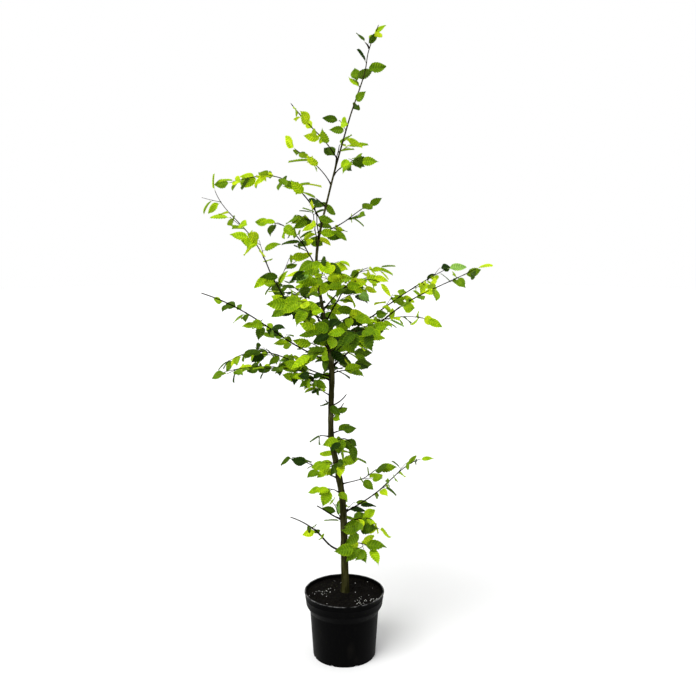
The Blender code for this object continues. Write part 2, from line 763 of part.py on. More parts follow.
def tidy_skin(mesh):
    """Keeps the one outer skin, which fills hollows and drops scraps, in few triangles."""
    shape = bmesh.new()
    shape.from_mesh(mesh)
    unseen = set(shape.faces)
    bodies = []
    while unseen:
        front = [unseen.pop()]
        body = list(front)
        while front:
            for edge in front.pop().edges:
                fresh = [face for face in edge.link_faces if face in unseen]
                unseen.difference_update(fresh)
                front += fresh
                body += fresh
        bodies.append(body)
    bodies.sort(key=body_volume)
    for body in bodies[:-1]:
        bmesh.ops.delete(shape, geom=body, context="FACES")
    bmesh.ops.dissolve_limit(shape, angle_limit=FLAT_ANGLE, verts=shape.verts, edges=shape.edges)
    bmesh.ops.triangulate(shape, faces=shape.faces)
    shape.to_mesh(mesh)
    shape.free()


# The whole plant

def make_bough(shoot, axis, cutter, tree, guides):
    """The bare start of a thick shoot, cut to the trunk's bark."""
    points, places = stretch(axis, 0, shoot.bare, BOUGH_STEP)
    radii = shoot_radii(shoot, places)
    bough = tube(f"bough_{shoot.name}", points, radii, ring_of(BOUGH_SIDES, guides), tree)
    cut_clear(bough, cutter)
    dress(bough, BARK)
    return grown_limb(bough.data, bough.name)


def make_stem(shoot, axis, bough, cutter, tree, guides):
    """The stem of a mass, which goes on from its bough or starts at the trunk."""
    start = shoot.bare + SEAT if bough else 0.0
    end = shoot.length - 0.8 * shoot.leaf
    points, places = stretch(axis, start, end, STEM_STEP)
    radii = [TWIG_FILL * radius for radius in shoot_radii(shoot, places)]
    stem = tube(f"foliage_{shoot.name}", points, radii, ring_of(TWIG_SIDES, guides), tree)
    if not bough:
        cut_clear(stem, cutter)
    leafy = 0.0 if bough else max(shoot.bare, trunk_radius(shoot.foot) + 6 * MM)
    return Mass(shoot, stem, points, leafy, end - start - 2 * MM, guides)


def make_leader_stem(tree, guides):
    """The leader's stem, which carries the trunk on from its top to the tree's tip."""
    axis = [trunk_point(height) for height in trunk_heights(TRUNK_TOP, TREE_TOP)]
    end = path_length(axis) - 0.9 * LEADER.leaf
    points, _ = stretch(axis, SEAT, end, STEM_STEP)
    radii = [TWIG_FILL * trunk_radius(point.z) for point in points]
    stem = tube("foliage_leader", points, radii, ring_of(TWIG_SIDES, guides), tree)
    return Mass(LEADER, stem, points, 0.0, end - SEAT - 2 * MM, guides)


def make_tree(tree, cutters, guides):
    """The trunk, the boughs and all masses. All limbs stand before the first leaf grows."""
    trunk = trunk_tube("trunk", 0.0, tree, guides)
    dress(trunk, BARK)
    cutter = trunk_tube("trunk cutter", SEAT, cutters, guides)
    keep_from_render(cutter)
    grown = [grown_limb(trunk.data, "trunk")]
    masses = []
    for shoot in SHOOTS:
        axis = shoot_axis(shoot)
        has_bough = shoot.thick >= BOUGH_DIAMETER
        if has_bough:
            grown.append(make_bough(shoot, axis, cutter, tree, guides))
        if shoot.bare < shoot.length:
            masses.append(make_stem(shoot, axis, has_bough, cutter, tree, guides))
    masses.append(make_leader_stem(tree, guides))
    grown += [mass.grown for mass in masses]
    leaves = sum(mass.grow(grown) for mass in masses)
    print(f"{leaves} leaves in {len(masses)} masses")


def main():
    clear_scene()
    tree = new_collection("Potted European hornbeam")
    cutters = new_collection("Cutters")
    guides = new_collection("Guides")
    make_pot(tree, cutters)
    make_compost(tree)
    make_tree(tree, cutters, guides)


main()
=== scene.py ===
"""The looks of a potted European hornbeam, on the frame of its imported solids.

Metres, +Z up, and a viewer who faces the plant looks along +Y. The tree grows here once more
by the rule of its solids, with their trunk, their table of shoots and a few short shoots more.
Each shoot's seed, gap and mean leaf are chosen so that its leaves lie as in the photo. The
tree is carried on to finer twigs, buds and leaf stalks, and its leaves get teeth and veins.
"""

import json
import math
import random
from bisect import bisect_right
from collections import defaultdict, namedtuple
from itertools import product

import bmesh
import bpy
from mathutils import Matrix, Vector, noise
from mathutils.bvhtree import BVHTree

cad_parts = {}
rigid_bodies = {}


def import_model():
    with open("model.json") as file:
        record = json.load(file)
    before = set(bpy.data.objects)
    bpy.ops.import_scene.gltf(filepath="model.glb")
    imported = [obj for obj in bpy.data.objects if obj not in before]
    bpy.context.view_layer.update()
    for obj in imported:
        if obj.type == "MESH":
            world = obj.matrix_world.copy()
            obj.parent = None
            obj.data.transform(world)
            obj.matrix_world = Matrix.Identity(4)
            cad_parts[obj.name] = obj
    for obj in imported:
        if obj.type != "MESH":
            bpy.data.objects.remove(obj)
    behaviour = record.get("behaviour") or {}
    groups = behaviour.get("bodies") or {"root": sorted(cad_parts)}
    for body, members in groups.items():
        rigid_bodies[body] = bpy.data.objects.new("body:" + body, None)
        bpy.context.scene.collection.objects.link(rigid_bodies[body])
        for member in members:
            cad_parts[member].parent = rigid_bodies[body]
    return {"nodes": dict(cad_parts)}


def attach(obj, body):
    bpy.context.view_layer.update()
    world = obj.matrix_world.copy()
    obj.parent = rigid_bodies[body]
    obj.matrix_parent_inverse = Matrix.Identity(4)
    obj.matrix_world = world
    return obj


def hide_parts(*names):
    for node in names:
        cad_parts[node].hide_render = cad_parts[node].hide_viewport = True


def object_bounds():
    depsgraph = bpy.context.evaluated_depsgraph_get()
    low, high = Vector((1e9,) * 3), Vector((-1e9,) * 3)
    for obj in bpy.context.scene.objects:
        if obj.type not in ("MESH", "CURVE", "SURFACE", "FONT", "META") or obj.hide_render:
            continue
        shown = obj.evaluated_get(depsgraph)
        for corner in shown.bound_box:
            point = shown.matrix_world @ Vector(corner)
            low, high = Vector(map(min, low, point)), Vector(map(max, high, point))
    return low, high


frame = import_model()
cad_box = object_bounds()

MM = 0.001
UP = Vector((0, 0, 1))

# The gap between parts that stand in each other
SEAT = 0.3 * MM

# Pot: outer radii from the base to the rim, the heights where they lie, its walls, and how
# finely it is turned
BASE_RADIUS = 110 * MM
WAIST_RADIUS = 120.5 * MM
WAIST_HEIGHT = 165 * MM
COLLAR_FOOT_RADIUS = 134 * MM
COLLAR_FOOT_HEIGHT = 189 * MM
COLLAR_TOP_RADIUS = 137.5 * MM
RIM_RADIUS = 140 * MM
RIM_DEPTH = 5 * MM
POT_HEIGHT = 235 * MM
POT_WALL = 2 * MM
POT_FLOOR = 3 * MM
POT_SIDES = 120
POT_CREASE = 35
MERGE = 0.02 * MM
CORNER_STEPS = 4
WALL = (
    (BASE_RADIUS, 0),
    (WAIST_RADIUS, WAIST_HEIGHT),
    (COLLAR_FOOT_RADIUS, COLLAR_FOOT_HEIGHT),
    (COLLAR_TOP_RADIUS, POT_HEIGHT - RIM_DEPTH),
)

# Drainage notches that cut the corner between the pot's wall and its floor
NOTCHES = 8
NOTCH_RADIUS = 7 * MM
NOTCH_DEPTH = 16 * MM
NOTCH_SIDES = 32

# Compost: its level, its rings, where it turns down to the wall, its lumps as depth and
# scale, and how it rises round the trunk
COMPOST_TOP = 222 * MM
COMPOST_RINGS = 34
COMPOST_SIDES = 110
COMPOST_CREASE = 60
COMPOST_EDGE = 4 * MM
LUMPS = ((4.0 * MM, 26), (2.2 * MM, 75), (1.0 * MM, 210))
LUMPS_LEVEL = 0.3
MOUND_HEIGHT = 2 * MM
MOUND_RADIUS = 0.016
MOUND_WIDTH = 0.02

# What lies on the compost: the two places round which it lies, for what doesn't lie all over
# it, how far round them it reaches and where in that it thins out, how level the compost must
# be under it, and how its lumps are drawn
ALL_OVER = ((0, 0, 0), (0, 0, 0))
GRIT_PLACES = ((-0.083, 0.012, COMPOST_TOP), (0.085, -0.062, COMPOST_TOP))
MOSS_PLACES = ((-0.075, 0.030, COMPOST_TOP), (-0.045, 0.055, COMPOST_TOP))
PATCH_RADIUS = 0.060
PATCH_HEART = 0.3
LEAST_LEVEL = 0.55
LUMP_SCALE = 2.3
LUMP_SHIFT = 7.1
LUMP_DEPTH = 0.55

# Trunk: height, offset to the right, offset to the back, diameter
TRUNK_FOOT = COMPOST_TOP + SEAT
TRUNK_TOP = 1.76
TREE_TOP = 2.141
TRUNK = [
    (TRUNK_FOOT, 0.003, 0.012, 33 * MM),
    (0.242, 0.003, 0.012, 29.5 * MM),
    (0.300, 0.002, 0.011, 26.5 * MM),
    (0.550, -0.005, 0.006, 22.5 * MM),
    (0.680, -0.024, 0.002, 20.5 * MM),
    (0.800, -0.045, -0.003, 19 * MM),
    (1.050, -0.043, 0.004, 17.5 * MM),
    (1.220, -0.070, 0.000, 11.5 * MM),
    (1.400, -0.091, -0.005, 9.4 * MM),
    (1.600, -0.052, 0.000, 6.6 * MM),
    (1.850, 0.018, 0.006, 4.8 * MM),
    (1.990, 0.066, 0.004, 3.7 * MM),
    (2.060, 0.079, 0.003, 3.0 * MM),
    (TREE_TOP, 0.111, 0.000, 2.2 * MM),
]
TRUNK_SUNK = 3 * MM

# Limbs: how far apart their points lie, how many sides they have, and how thick their tips are
AXIS_STEP = 10 * MM
AXIS_STEPS = 12
LEADER_STEPS = 24
TRUNK_STEP = 5 * MM
SHOOT_STEP = 6 * MM
TRUNK_SIDES = 28
BOUGH_SIDES = 12
TWIG_SIDES = 6
BOUGH_DIAMETER = 5 * MM
TIP_DIAMETER = 1.6 * MM
BARE_TIP_DIAMETER = 3.4 * MM
STUB_TIP = 0.7
TAPER = 1.3
TWIG_DIAMETER = 2.3 * MM
TWIGLET_DIAMETER = 1.8 * MM

# Where a limb leaves another: how far the collar swells and reaches, and how the trunk swells
COLLAR_SWELL = 0.9
COLLAR_REACH = 7 * MM
TWIG_SWELL = 0.6
TWIG_SWELL_REACH = 2 * MM
TRUNK_SWELL = 0.07
TRUNK_SWELL_REACH = 11 * MM
TRUNK_SWELL_LIMIT = 1.12

# Nodes: how a shoot bends at them, less where it is thinner than a radius, and thickens, and
# how they turn round it and lie at uneven gaps, away from the trunk and the leader's bare
# tip. A stem steeper than a share is upright
ZIGZAG = 1.3 * MM
ZIGZAG_RADIUS = 1.2 * MM
NODE_SWELL = 0.28
NODE_TURN = 0.7
NODE_SHIFT = 0.28
NODE_WAVE = 2.4
NODE_FREE = 6 * MM
LEADER_TIP = 45 * MM
UPRIGHT = 0.8

# Leaves: a length with the stalk, of which a share follows the shoot's own leaf in the table,
# the blade's width as share of its length, and how leaves spread in size, droop, fold, twist
LEAF_LENGTH = 31 * MM
LEAF_SHARE = 0.60
LAST_LEAF = 0.9
LEAF_WIDTH = (0.49, 0.62)
LEAF_SPREAD = (0.84, 1.14)
LEAF_DROOP = (0.05, 0.28)
LEAF_FOLD = (0.08, 0.42)
LEAF_TWIST = (-0.25, 0.25)
STALK = 0.16

# How a leaf leaves its twig, how it hangs, and where its upper side turns
LEAF_FORK = (46, 72)
LEAF_SAG = (-0.15, 0.75)
TIP_FORK = (10, 34)
LEAF_TILT = 0.52
LEAF_FACING = Vector((0, -0.41, 0.41))
LEAF_OUTWARDS = 0.35

# How a leaf finds room: how often it tries, how far past the solids it may reach, its blade
# as (side, share of the length) with a middle, and the cells in which blades are kept
TRIES = 8
ROOM = 8 * MM
BLADE_OUTLINE = ((0, STALK), (1, 0.55), (0, 1), (-1, 0.55))
BLADE_FAN = ((0, 1, 4), (1, 2, 4), (2, 3, 4), (3, 0, 4))
BLADE_REACH = 0.47
CELL = 0.09
RING_LIFT = 0.3

# Twigs: which nodes bear one, its length from the shoot's foot to its end, the angle at which
# it leaves, how it rises or sags, its steps, and how its nodes lie
TWIG_EVERY = 3
TWIG_AT_FOOT = 1.1
TWIG_SHORTENING = 0.5
TWIG_SPREAD = (0.85, 1.15)
TWIG_FORK = (42, 56)
TWIG_SAG = (-0.10, 0.16)
TWIG_STEPS = 4
TWIG_GAP = 0.85
TWIG_START = 0.35
TWIG_END = 2 * MM

# The finer twigs that the solids leave out: one short twig more on each shoot, and on the
# longer twigs the node that bears one, and its length as share of that twig's
SPARE_TWIGS = 1
SPARE_LENGTH = 0.6
TWIGLET_EVERY = 3
TWIGLET_FROM = 0.055
TWIGLET_LENGTH = 0.50

# One hornbeam leaf: vein pairs, half the blade's width along it, teeth and pleats, how the
# side veins and the margin run forward, and the stalk's ends as (place, radius)
VEIN_PAIRS = 7
BLADE_PLACES = (0.0, 0.05, 0.15, 0.30, 0.42, 0.58, 0.72, 0.84, 0.93, 1.0)
BLADE_WIDTHS = (0.06, 0.42, 0.76, 0.97, 1.0, 0.90, 0.67, 0.37, 0.14, 0.0)
BLADE_ACROSS = (-1, -0.5, 0, 0.5, 1)
VEIN_SPAN = 0.97
RIB_CROWDING = 1.1
MARGIN_CROWDING = 0.74
VEIN_BEND = 1.2
TOOTH = 0.06
PLEAT = 0.020
PLEAT_ACROSS = (0, 1, 0.6)
STALK_ENDS = ((-STALK / (1 - STALK), 0.011), (0.02, 0.008))
STALK_FLATNESS = 1.6
STALK_DROP = 0.004

# Buds: length, how wide they are for it, how far beside the twig they sit and lean away from
# it, and their rings as (place, radius)
BUD_LENGTH = (4.5 * MM, 6.5 * MM)
BUD_WIDTH = 0.36
BUD_LEAN = 0.45
BUD_OFFSET = 0.8 * MM
TIP_BUD = 7.5 * MM
BUD_RINGS = ((0.0, 0.30), (0.22, 0.48), (0.50, 0.46), (0.80, 0.22))
BUD_ENDS = [(0, 1, 0), (0, -0.05, 0)]
BUD_SIDES = 6

# One shoot in millimetres and degrees: the height where it leaves the trunk, its heading (0 is
# right, 90 is back), its length with the last leaf, its climb at even steps along it, the
# length that is bare, its diameter at the trunk, its mean leaf, the gap between leaves, its
# number of side twigs and their length, its seed, how light its green is, which is partly
# painted light and shade, and for some the length of their bare tip and how far their heading
# turns on the way
Shoot = namedtuple(
    "Shoot",
    "name foot heading length climb bare thick leaf gap twigs twig seed bright dry turn",
    defaults=(0, 0),
)
ROWS = [
    # The top of the crown
    ("tip_left", 2066, 192, 66, (60, 44, 30), 6, 3.8, 30, 10, 0, 90, 38303, 0.52),
    ("tip_right", 2088, -12, 62, (76, 60, 40), 6, 3.8, 26, 10, 0, 90, 15804, 0.62),
    ("top_left", 1719, 185, 228, (60, 45, 52), 40, 3.8, 66, 24, 0, 60, 6111, 0.8, 20),
    ("top_left_low", 1639, 170, 230, (62, 36, 47), 50, 3.8, 66, 26, 1, 60, 33012, 0.75),
    ("top_right", 1667, -15, 165, (57, 12, -5), 20, 3.8, 56, 25, 1, 90, 77413, 0.62),
    ("top_back", 1690, 80, 170, (58, 40, 20), 20, 3.8, 60, 36, 0, 90, 714, 0.57),
    ("high_left", 1514, 172, 429, (66, 41, -9, -14), 90, 4.8, 56, 24, 3, 80, 6115, 0.63, 0, 10),
    ("high_left_spur", 1566, 200, 95, (49, 29, -17), 20, 3.8, 54, 28, 0, 90, 5916, 0.51),
    ("high_right", 1486, 15, 245, (10, 36, 13), 50, 4.4, 55, 29, 1, 60, 8817, 0.54),
    ("high_front", 1460, 268, 250, (52, 30, 0), 20, 3.8, 50, 37, 1, 70, 4018, 0.57),
    ("high_back", 1430, 98, 300, (50, 34, 5), 20, 3.8, 52, 25, 3, 70, 9419, 0.48),
    # The middle, where the crown is at its widest and densest
    ("left_rising", 1089, 170, 724, (48, 49, 66, 45, 79), 120, 6.2, 61, 37, 5, 110, 12620, 0.58),
    ("left_middle", 1367, 188, 283, (66, 43, -37), 40, 4.6, 66, 29, 3, 90, 8921, 0.54),
    ("right_middle", 1225, 10, 290, (53, 39, -4, -58), 60, 5, 60, 24, 3, 100, 11422, 0.67),
    ("right_long", 1033, -12, 648, (42, 43, 26, 30), 90, 6.6, 56, 38, 4, 100, 19223, 0.7),
    ("right_second", 1105, 18, 550, (31, 32, 21), 80, 6, 52, 34, 4, 100, 8224, 0.7),
    ("left_reaching", 1049, 200, 500, (23, 36, 20), 110, 5.2, 48, 28, 2, 90, 25, 0.43, 30),
    ("left_arching", 1000, 166, 424, (9, 24, -5, -54), 70, 5, 44, 26, 4, 90, 10426, 0.43),
    ("left_spreading", 986, 192, 416, (24, 6, -20), 70, 5, 42, 25, 4, 90, 10927, 0.39),
    ("left_short", 934, 205, 200, (24, 48, 50, 20), 20, 3.8, 40, 16, 3, 70, 9128, 0.36),
    ("right_drooping", 1070, 2, 420, (44, 40, 16, -4, -36), 170, 4.4, 58, 34, 2, 60, 6566, 0.72),
    ("right_short", 1010, -38, 150, (26, 0, -60), 20, 3.8, 72, 37, 0, 90, 3229, 0.5),
    ("front_right", 1075, 300, 340, (45, 22, -20), 60, 5.2, 72, 25, 3, 100, 1230, 0.44),
    ("front_left", 1155, 245, 350, (42, 24, -18), 60, 5, 68, 37, 3, 100, 8131, 0.46),
    ("front_high", 1290, 278, 300, (50, 26, -10), 30, 4.6, 58, 25, 3, 80, 232, 0.62),
    ("back_left", 1130, 118, 420, (40, 26, -8), 70, 5.4, 64, 25, 4, 100, 6633, 0.45),
    ("back_right", 1180, 62, 420, (42, 28, -6), 70, 5.4, 58, 30, 4, 100, 1934, 0.7),
    ("back_low", 975, 85, 320, (30, 12, -20), 40, 4.8, 64, 25, 3, 80, 11235, 0.42),
    # Short leafy shoots close to the trunk, in the heart of the crown, most with darker greens as
    # painted shade
    ("heart_front", 1120, 274, 175, (38, 14, -30), 20, 3.8, 68, 30, 0, 90, 6750, 0.38),
    ("heart_left", 1185, 212, 185, (44, 20, -20), 20, 3.8, 70, 29, 1, 60, 3951, 0.42),
    ("heart_right", 1150, -28, 190, (46, 24, -16), 20, 3.8, 74, 25, 1, 60, 1652, 0.43),
    ("heart_back", 1060, 140, 180, (40, 16, -20), 20, 3.8, 68, 25, 1, 90, 3953, 0.41),
    ("heart_high", 1285, -40, 170, (52, 30, -10), 20, 3.8, 64, 24, 1, 90, 7454, 0.63),
    ("heart_low", 1095, 268, 150, (20, -20, -62), 20, 3.8, 78, 26, 1, 90, 3164, 0.44),
    # The sparse shoots lower down
    ("low_spur_front", 767, -40, 150, (40, 17, -44, -43), 20, 3.8, 58, 18, 2, 50, 46236, 0.44),
    ("low_spur_right", 700, -70, 120, (30, 0, -50), 20, 3.8, 58, 20, 1, 90, 43867, 0.42),
    ("low_spur_left", 693, 205, 80, (-5, -26, -19), 20, 3.8, 56, 20, 0, 90, 6537, 0.29),
    ("low_right_short", 620, 24, 203, (6, 7, 32, -49), 60, 3.8, 62, 19, 1, 50, 21538, 0.45),
    ("low_right_long", 517, -8, 387, (29, 36, 46, 36, -10), 110, 5.4, 50, 30, 2, 80, 22339, 0.5),
    ("low_left", 641, 175, 232, (20, 28, -9), 50, 4.2, 52, 32, 0, 60, 23240, 0.34),
    ("low_front", 590, 235, 130, (14, 33, -38, -65), 20, 3.8, 66, 22, 1, 50, 31141, 0.62),
    ("low_back", 640, 95, 260, (30, 20, -14), 20, 3.8, 58, 37, 2, 70, 10742, 0.44),
    ("stub_left", 490, 185, 108, (19, 34, 31), 108, 5.6, 50, 30, 0, 90, 1, 0.4),
    ("foot_left", 377, 190, 233, (6, 50, 38, 22), 80, 7, 44, 25, 0, 90, 24944, 0.53, 70),
    ("foot_right", 466, -20, 176, (54, 17, -5, -68), 20, 3.8, 66, 23, 2, 50, 3445, 0.63),
    ("foot_drooping", 387, -35, 259, (51, 55, 25, -18, -70), 40, 3.8, 78, 32, 3, 50, 646, 0.55),
    ("foot_low", 400, -38, 190, (22, 12, -22, -55), 50, 3.8, 82, 24, 1, 90, 6660, 0.78),
    ("spur_front", 896, -105, 80, (40, 0, -50), 10, 3.8, 40, 10, 0, 90, 5168, 0.12),
    ("spur_left", 790, 195, 85, (20, 5, -20), 20, 3.8, 40, 25, 0, 90, 19661, 0.4),
    ("spur_right", 800, -25, 105, (35, 10, -25), 20, 3.8, 58, 17, 0, 90, 12662, 0.4),
    ("spur_high", 850, -30, 75, (60, 30), 20, 3.8, 46, 19, 0, 90, 763, 0.25),
    ("foot_back", 450, 110, 200, (45, 20, -20), 20, 3.8, 64, 26, 1, 90, 7947, 0.36),
]
LEADER_ROW = ("leader", 1760, 0, 381, (), 20, 3.8, 56, 44, 1, 45, 5010, 0.56)

# Short bare spurs on the stem, as height, heading, length and mean climb, and their make
SPURS = (
    (0.899, 14, 0.064, 34),
    (0.869, -16, 0.060, 42),
    (0.884, -34, 0.040, 16),
    (0.905, 160, 0.022, 30),
)
SPUR_STEPS = 8
SPUR_CURVE = 34
SPUR_DIAMETER = 5.4 * MM

# Leaf greens from the darkest to the lightest: name, base colour and the record's slot, then
# a rare minty one, and how far sprays and single leaves differ
GREENS = (
    ("dark", (0.016, 0.046, 0.002), "leaf_dark_green"),
    ("deep", (0.056, 0.118, 0.003), "leaf_dark_green"),
    ("mid", (0.138, 0.255, 0.004), "leaf_mid_green"),
    ("fresh", (0.245, 0.405, 0.005), "leaf_mid_green"),
    ("lime", (0.375, 0.570, 0.006), "leaf_light_green"),
    ("yellow", (0.510, 0.680, 0.010), "leaf_light_green"),
)
MINT = ("mint", (0.260, 0.470, 0.090), "leaf_light_green")
MINT_SHARE = 0.008
SPRAY_SPREAD = 0.14
LEAF_COLOUR_SPREAD = 0.22

# Barks: name, colour, colour of the pale patches and how much they cover, and the factors
# for the dark and the light of their streaks
TRUNK_BARK = ("trunk bark", (0.026, 0.025, 0.008), (0.115, 0.115, 0.048), 0.30)
BOUGH_BARK = ("bough bark", (0.008, 0.007, 0.003), (0.030, 0.026, 0.012), 0.20)
TWIG_BARK = ("twig bark", (0.007, 0.005, 0.002), (0.026, 0.019, 0.008), 0.15)
BUD_BARK = ("bud scales", (0.060, 0.034, 0.014), (0.10, 0.075, 0.03), 0.20)
BARK_SHADES = ((0.45, 0.45, 0.45), (1.6, 1.6, 1.5))

# Crumbly finishes as name, dark and light, and the pot's plastic
COMPOST = ("compost", (0.0013, 0.0011, 0.0009), (0.0046, 0.0036, 0.0028))
CRUMB = ("compost crumbs", (0.0022, 0.0018, 0.0014), (0.011, 0.0085, 0.006))
GRIT = ("pale grit", (0.42, 0.42, 0.40), (0.72, 0.72, 0.70))
MOSS = ("moss", (0.014, 0.017, 0.008), (0.050, 0.056, 0.026))
BLACK = (0.0007, 0.0007, 0.0008, 1)
SCUFFED = (0.0034, 0.0034, 0.0034, 1)
DUSTY = (0.014, 0.012, 0.010, 1)
# A painted highlight, laid in patches along the rim's top edge
RIM_HIGHLIGHT = (0.17, 0.17, 0.17, 1)

# A leaf blade's dark, its light and its back, as factors for the leaf's own colour and what is
# added to it, and the marks on it in the same way, after their mask and how much they show
LEAF_SHADES = (
    ((0.72, 0.80, 0.80), (0, 0, 0)),
    ((1.18, 1.10, 1.0), (0, 0, 0)),
    ((1.0, 0.94, 1.0), (0.012, 0.016, 0.003)),
)
LEAF_MARKS = (
    # Painted shade in the furrows of the pleats, round the veins
    ("Furrows", 0.7, (0.40, 0.50, 0.60), (0, 0, 0)),
    ("Veins", 0.45, (1.25, 1.15, 1.0), (0.03, 0.04, 0.004)),
    ("Margin", 0.5, (1.5, 1.25, 1.0), (0.02, 0.02, 0)),
)

# The studio: its floor, its light from all round and from above, and its soft sun
FLOOR_RADIUS = 14
FLOOR_SIDES = 96
ROUND_LIGHT = (1, 1, 1, 1)
OVERHEAD_LIGHT = (0.58, 0.58, 0.58, 1)
OVERHEAD = (0.30, 0.80)
SUN_POWER = 2.5
SUN_WIDTH = 40
SUN_AIM = Vector((0.45, 0.62, -1.0))

# Camera: place, downward tilt, sensor, and focal length in pixels of the photo's width
CAMERA_PLACE = (0.013, -3.0, 1.6)
CAMERA_TILT = 9.49
SENSOR = 36
FOCAL_PIXELS = 904.3
PHOTO_PIXELS = 696


def in_metres(row):
    """One row of the table as a shoot, with its millimetres turned into metres."""
    shoot = Shoot(*row)
    fields = ("foot", "length", "bare", "leaf", "gap", "twig", "dry")
    lengths = {field: getattr(shoot, field) / 1000 for field in fields}
    return shoot._replace(thick=shoot.thick * MM, **lengths)


SHOOTS = [in_metres(row) for row in ROWS]
LEADER = in_metres(LEADER_ROW)


# Smooth paths and directions

def smooth(keys, values, place):
    """A smooth curve through values at rising keys, read at one place."""
    index = 0
    while index < len(keys) - 2 and place > keys[index + 1]:
        index += 1

    def slope(key):
        before = max(key - 1, 0)
        after = min(key + 1, len(keys) - 1)
        return (values[after] - values[before]) / (keys[after] - keys[before])

    span = keys[index + 1] - keys[index]
    t = (place - keys[index]) / span
    start = values[index] * (2 * t ** 3 - 3 * t ** 2 + 1)
    leave = slope(index) * span * (t ** 3 - 2 * t ** 2 + t)
    end = values[index + 1] * (3 * t ** 2 - 2 * t ** 3)
    arrive = slope(index + 1) * span * (t ** 3 - t ** 2)
    return start + leave + end + arrive


def trunk_column(column, height):
    return smooth([row[0] for row in TRUNK], [row[column] for row in TRUNK], height)


def trunk_point(height):
    return Vector((trunk_column(1, height), trunk_column(2, height), height))


def trunk_radius(height):
    return trunk_column(3, height) / 2


def level_way(angle):
    """The level direction at an angle from +X."""
    return Vector((math.cos(angle), math.sin(angle), 0))


def rising(heading, climb):
    """The direction of a heading and a climb, both in degrees."""
    climb = math.radians(climb)
    return level_way(math.radians(heading)) * math.cos(climb) + UP * math.sin(climb)


def sideways(direction, turn):
    """A direction square to a stem: level for a level stem, turned for an upright one."""
    if abs(direction.z) < UPRIGHT:
        return direction.cross(UP).normalized()
    level = level_way(turn)
    return (level - direction * level.dot(direction)).normalized()


def forked(node, degrees):
    """The direction that leaves a stem at a node, at an angle to its side."""
    angle = math.radians(degrees)
    return node.direction * math.cos(angle) + node.side * math.sin(angle)


def along(points, distance):
    """The point at a distance along a path, and the path's direction there."""
    for before, after in zip(points, points[1:]):
        step = (after - before).length
        if distance <= step:
            return before.lerp(after, distance / step), (after - before).normalized()
        distance -= step
    direction = (points[-1] - points[-2]).normalized()
    return points[-1] + direction * distance, direction


def shoot_axis(shoot):
    """A shoot's axis as points close together, from the middle of the trunk to its tip."""
    steps = max(AXIS_STEPS, round(shoot.length / AXIS_STEP))
    keys = [index / (len(shoot.climb) - 1) for index in range(len(shoot.climb))]
    points = [trunk_point(shoot.foot)]
    for step in range(steps):
        share = (step + 0.5) / steps
        aim = rising(shoot.heading + shoot.turn * share, smooth(keys, shoot.climb, share))
        points.append(points[-1] + aim * shoot.length / steps)
    return points


def tube_faces(first, rings, sides):
    """The faces between rings whose points follow one another from the first."""
    faces = []
    for ring in range(rings - 1):
        for turn in range(sides):
            low = first + ring * sides + turn
            side = first + ring * sides + (turn + 1) % sides
            faces.append((low, side, side + sides, low + sides))
    return faces


# The tree grows: first every limb, then the leaves and buds at its nodes

Node = namedtuple("Node", "place point direction side")
Spray = namedtuple("Spray", "shoot nodes tip bright seed")
Place = namedtuple("Place", "point direction side forks lean")
Sprout = namedtuple(
    "Sprout", "root reach facing width length depth fold droop twist", defaults=(0, 0, 0)
)


def nodes_of(points, start, end, gap, turn):
    """The nodes of a shoot or twig, on alternate sides of it."""
    found = []
    for index in range(max(1, int((end - start) / gap))):
        shift = NODE_SHIFT * math.sin(NODE_WAVE * index + 3 * turn)
        place = start + gap * (index + 0.5 + shift)
        point, direction = along(points, place)
        side = sideways(direction, turn + NODE_TURN * index)
        found.append(Node(place, point, direction, side if index % 2 else -side))
    return found


def limb_course(points, end, nodes, radius_at):
    """A limb's own line and radii: it bends a little to each node and swells there."""
    bends = [(0.0, Vector())]
    for node in nodes:
        share = min(1, radius_at(node.place) / ZIGZAG_RADIUS)
        bends.append((node.place, node.side * ZIGZAG * share))
    bends.append((end + MM, Vector()))
    places = [place for place, _ in bends]
    own = [node.place for node in nodes]
    steps = max(2, round(end / SHOOT_STEP))
    even = [end * index / steps for index in range(steps + 1)]
    free = [place for place in even if all(abs(place - other) > SHOOT_STEP / 3 for other in own)]
    line = []
    radii = []
    for stop in sorted(free + own):
        index = min(bisect_right(places, stop) - 1, len(bends) - 2)
        share = (stop - places[index]) / (places[index + 1] - places[index])
        bend = bends[index][1].lerp(bends[index + 1][1], share)
        line.append(along(points, stop)[0] + bend)
        radii.append(radius_at(stop) * (1 + NODE_SWELL if stop in own else 1))
    return line, radii


class Blades:
    """The leaves so far, kept by place, so that the next one doesn't cut through them."""

    def __init__(self, limbs, box):
        room = Vector((ROOM, ROOM, ROOM))
        self.low = box[0] - room
        self.high = box[1] + room
        corners = []
        faces = []
        for line, radii in limbs:
            faces += tube_faces(len(corners), len(line), 3)
            for point, radius in zip(line, radii):
                for turn in range(3):
                    angle = turn * 2 * math.pi / 3
                    ring = Vector((math.cos(angle), math.sin(angle), RING_LIFT))
                    corners.append(point + ring * radius)
        self.limbs = BVHTree.FromPolygons(corners, faces)
        self.cells = defaultdict(list)

    def inside(self, corner):
        return all(low < value < high for low, value, high in zip(self.low, corner, self.high))

    def fits(self, corners):
        """Whether a blade stays in its box, off every limb and leaf. If so, it is kept."""
        if not all(self.inside(corner) for corner in corners):
            return False
        middle = sum(corners, Vector()) / len(corners)
        blade = BVHTree.FromPolygons([*corners, middle], BLADE_FAN)
        if blade.overlap(self.limbs):
            return False
        x, y, z = (math.floor(value / CELL) for value in middle)
        for dx, dy, dz in product((-1, 0, 1), repeat=3):
            if any(blade.overlap(other) for other in self.cells[(x + dx, y + dy, z + dz)]):
                return False
        self.cells[(x, y, z)].append(blade)
        return True


def leaf_length(shoot):
    """The mean length of a shoot's leaves, with their stalks."""
    return LEAF_LENGTH + LEAF_SHARE * shoot.leaf


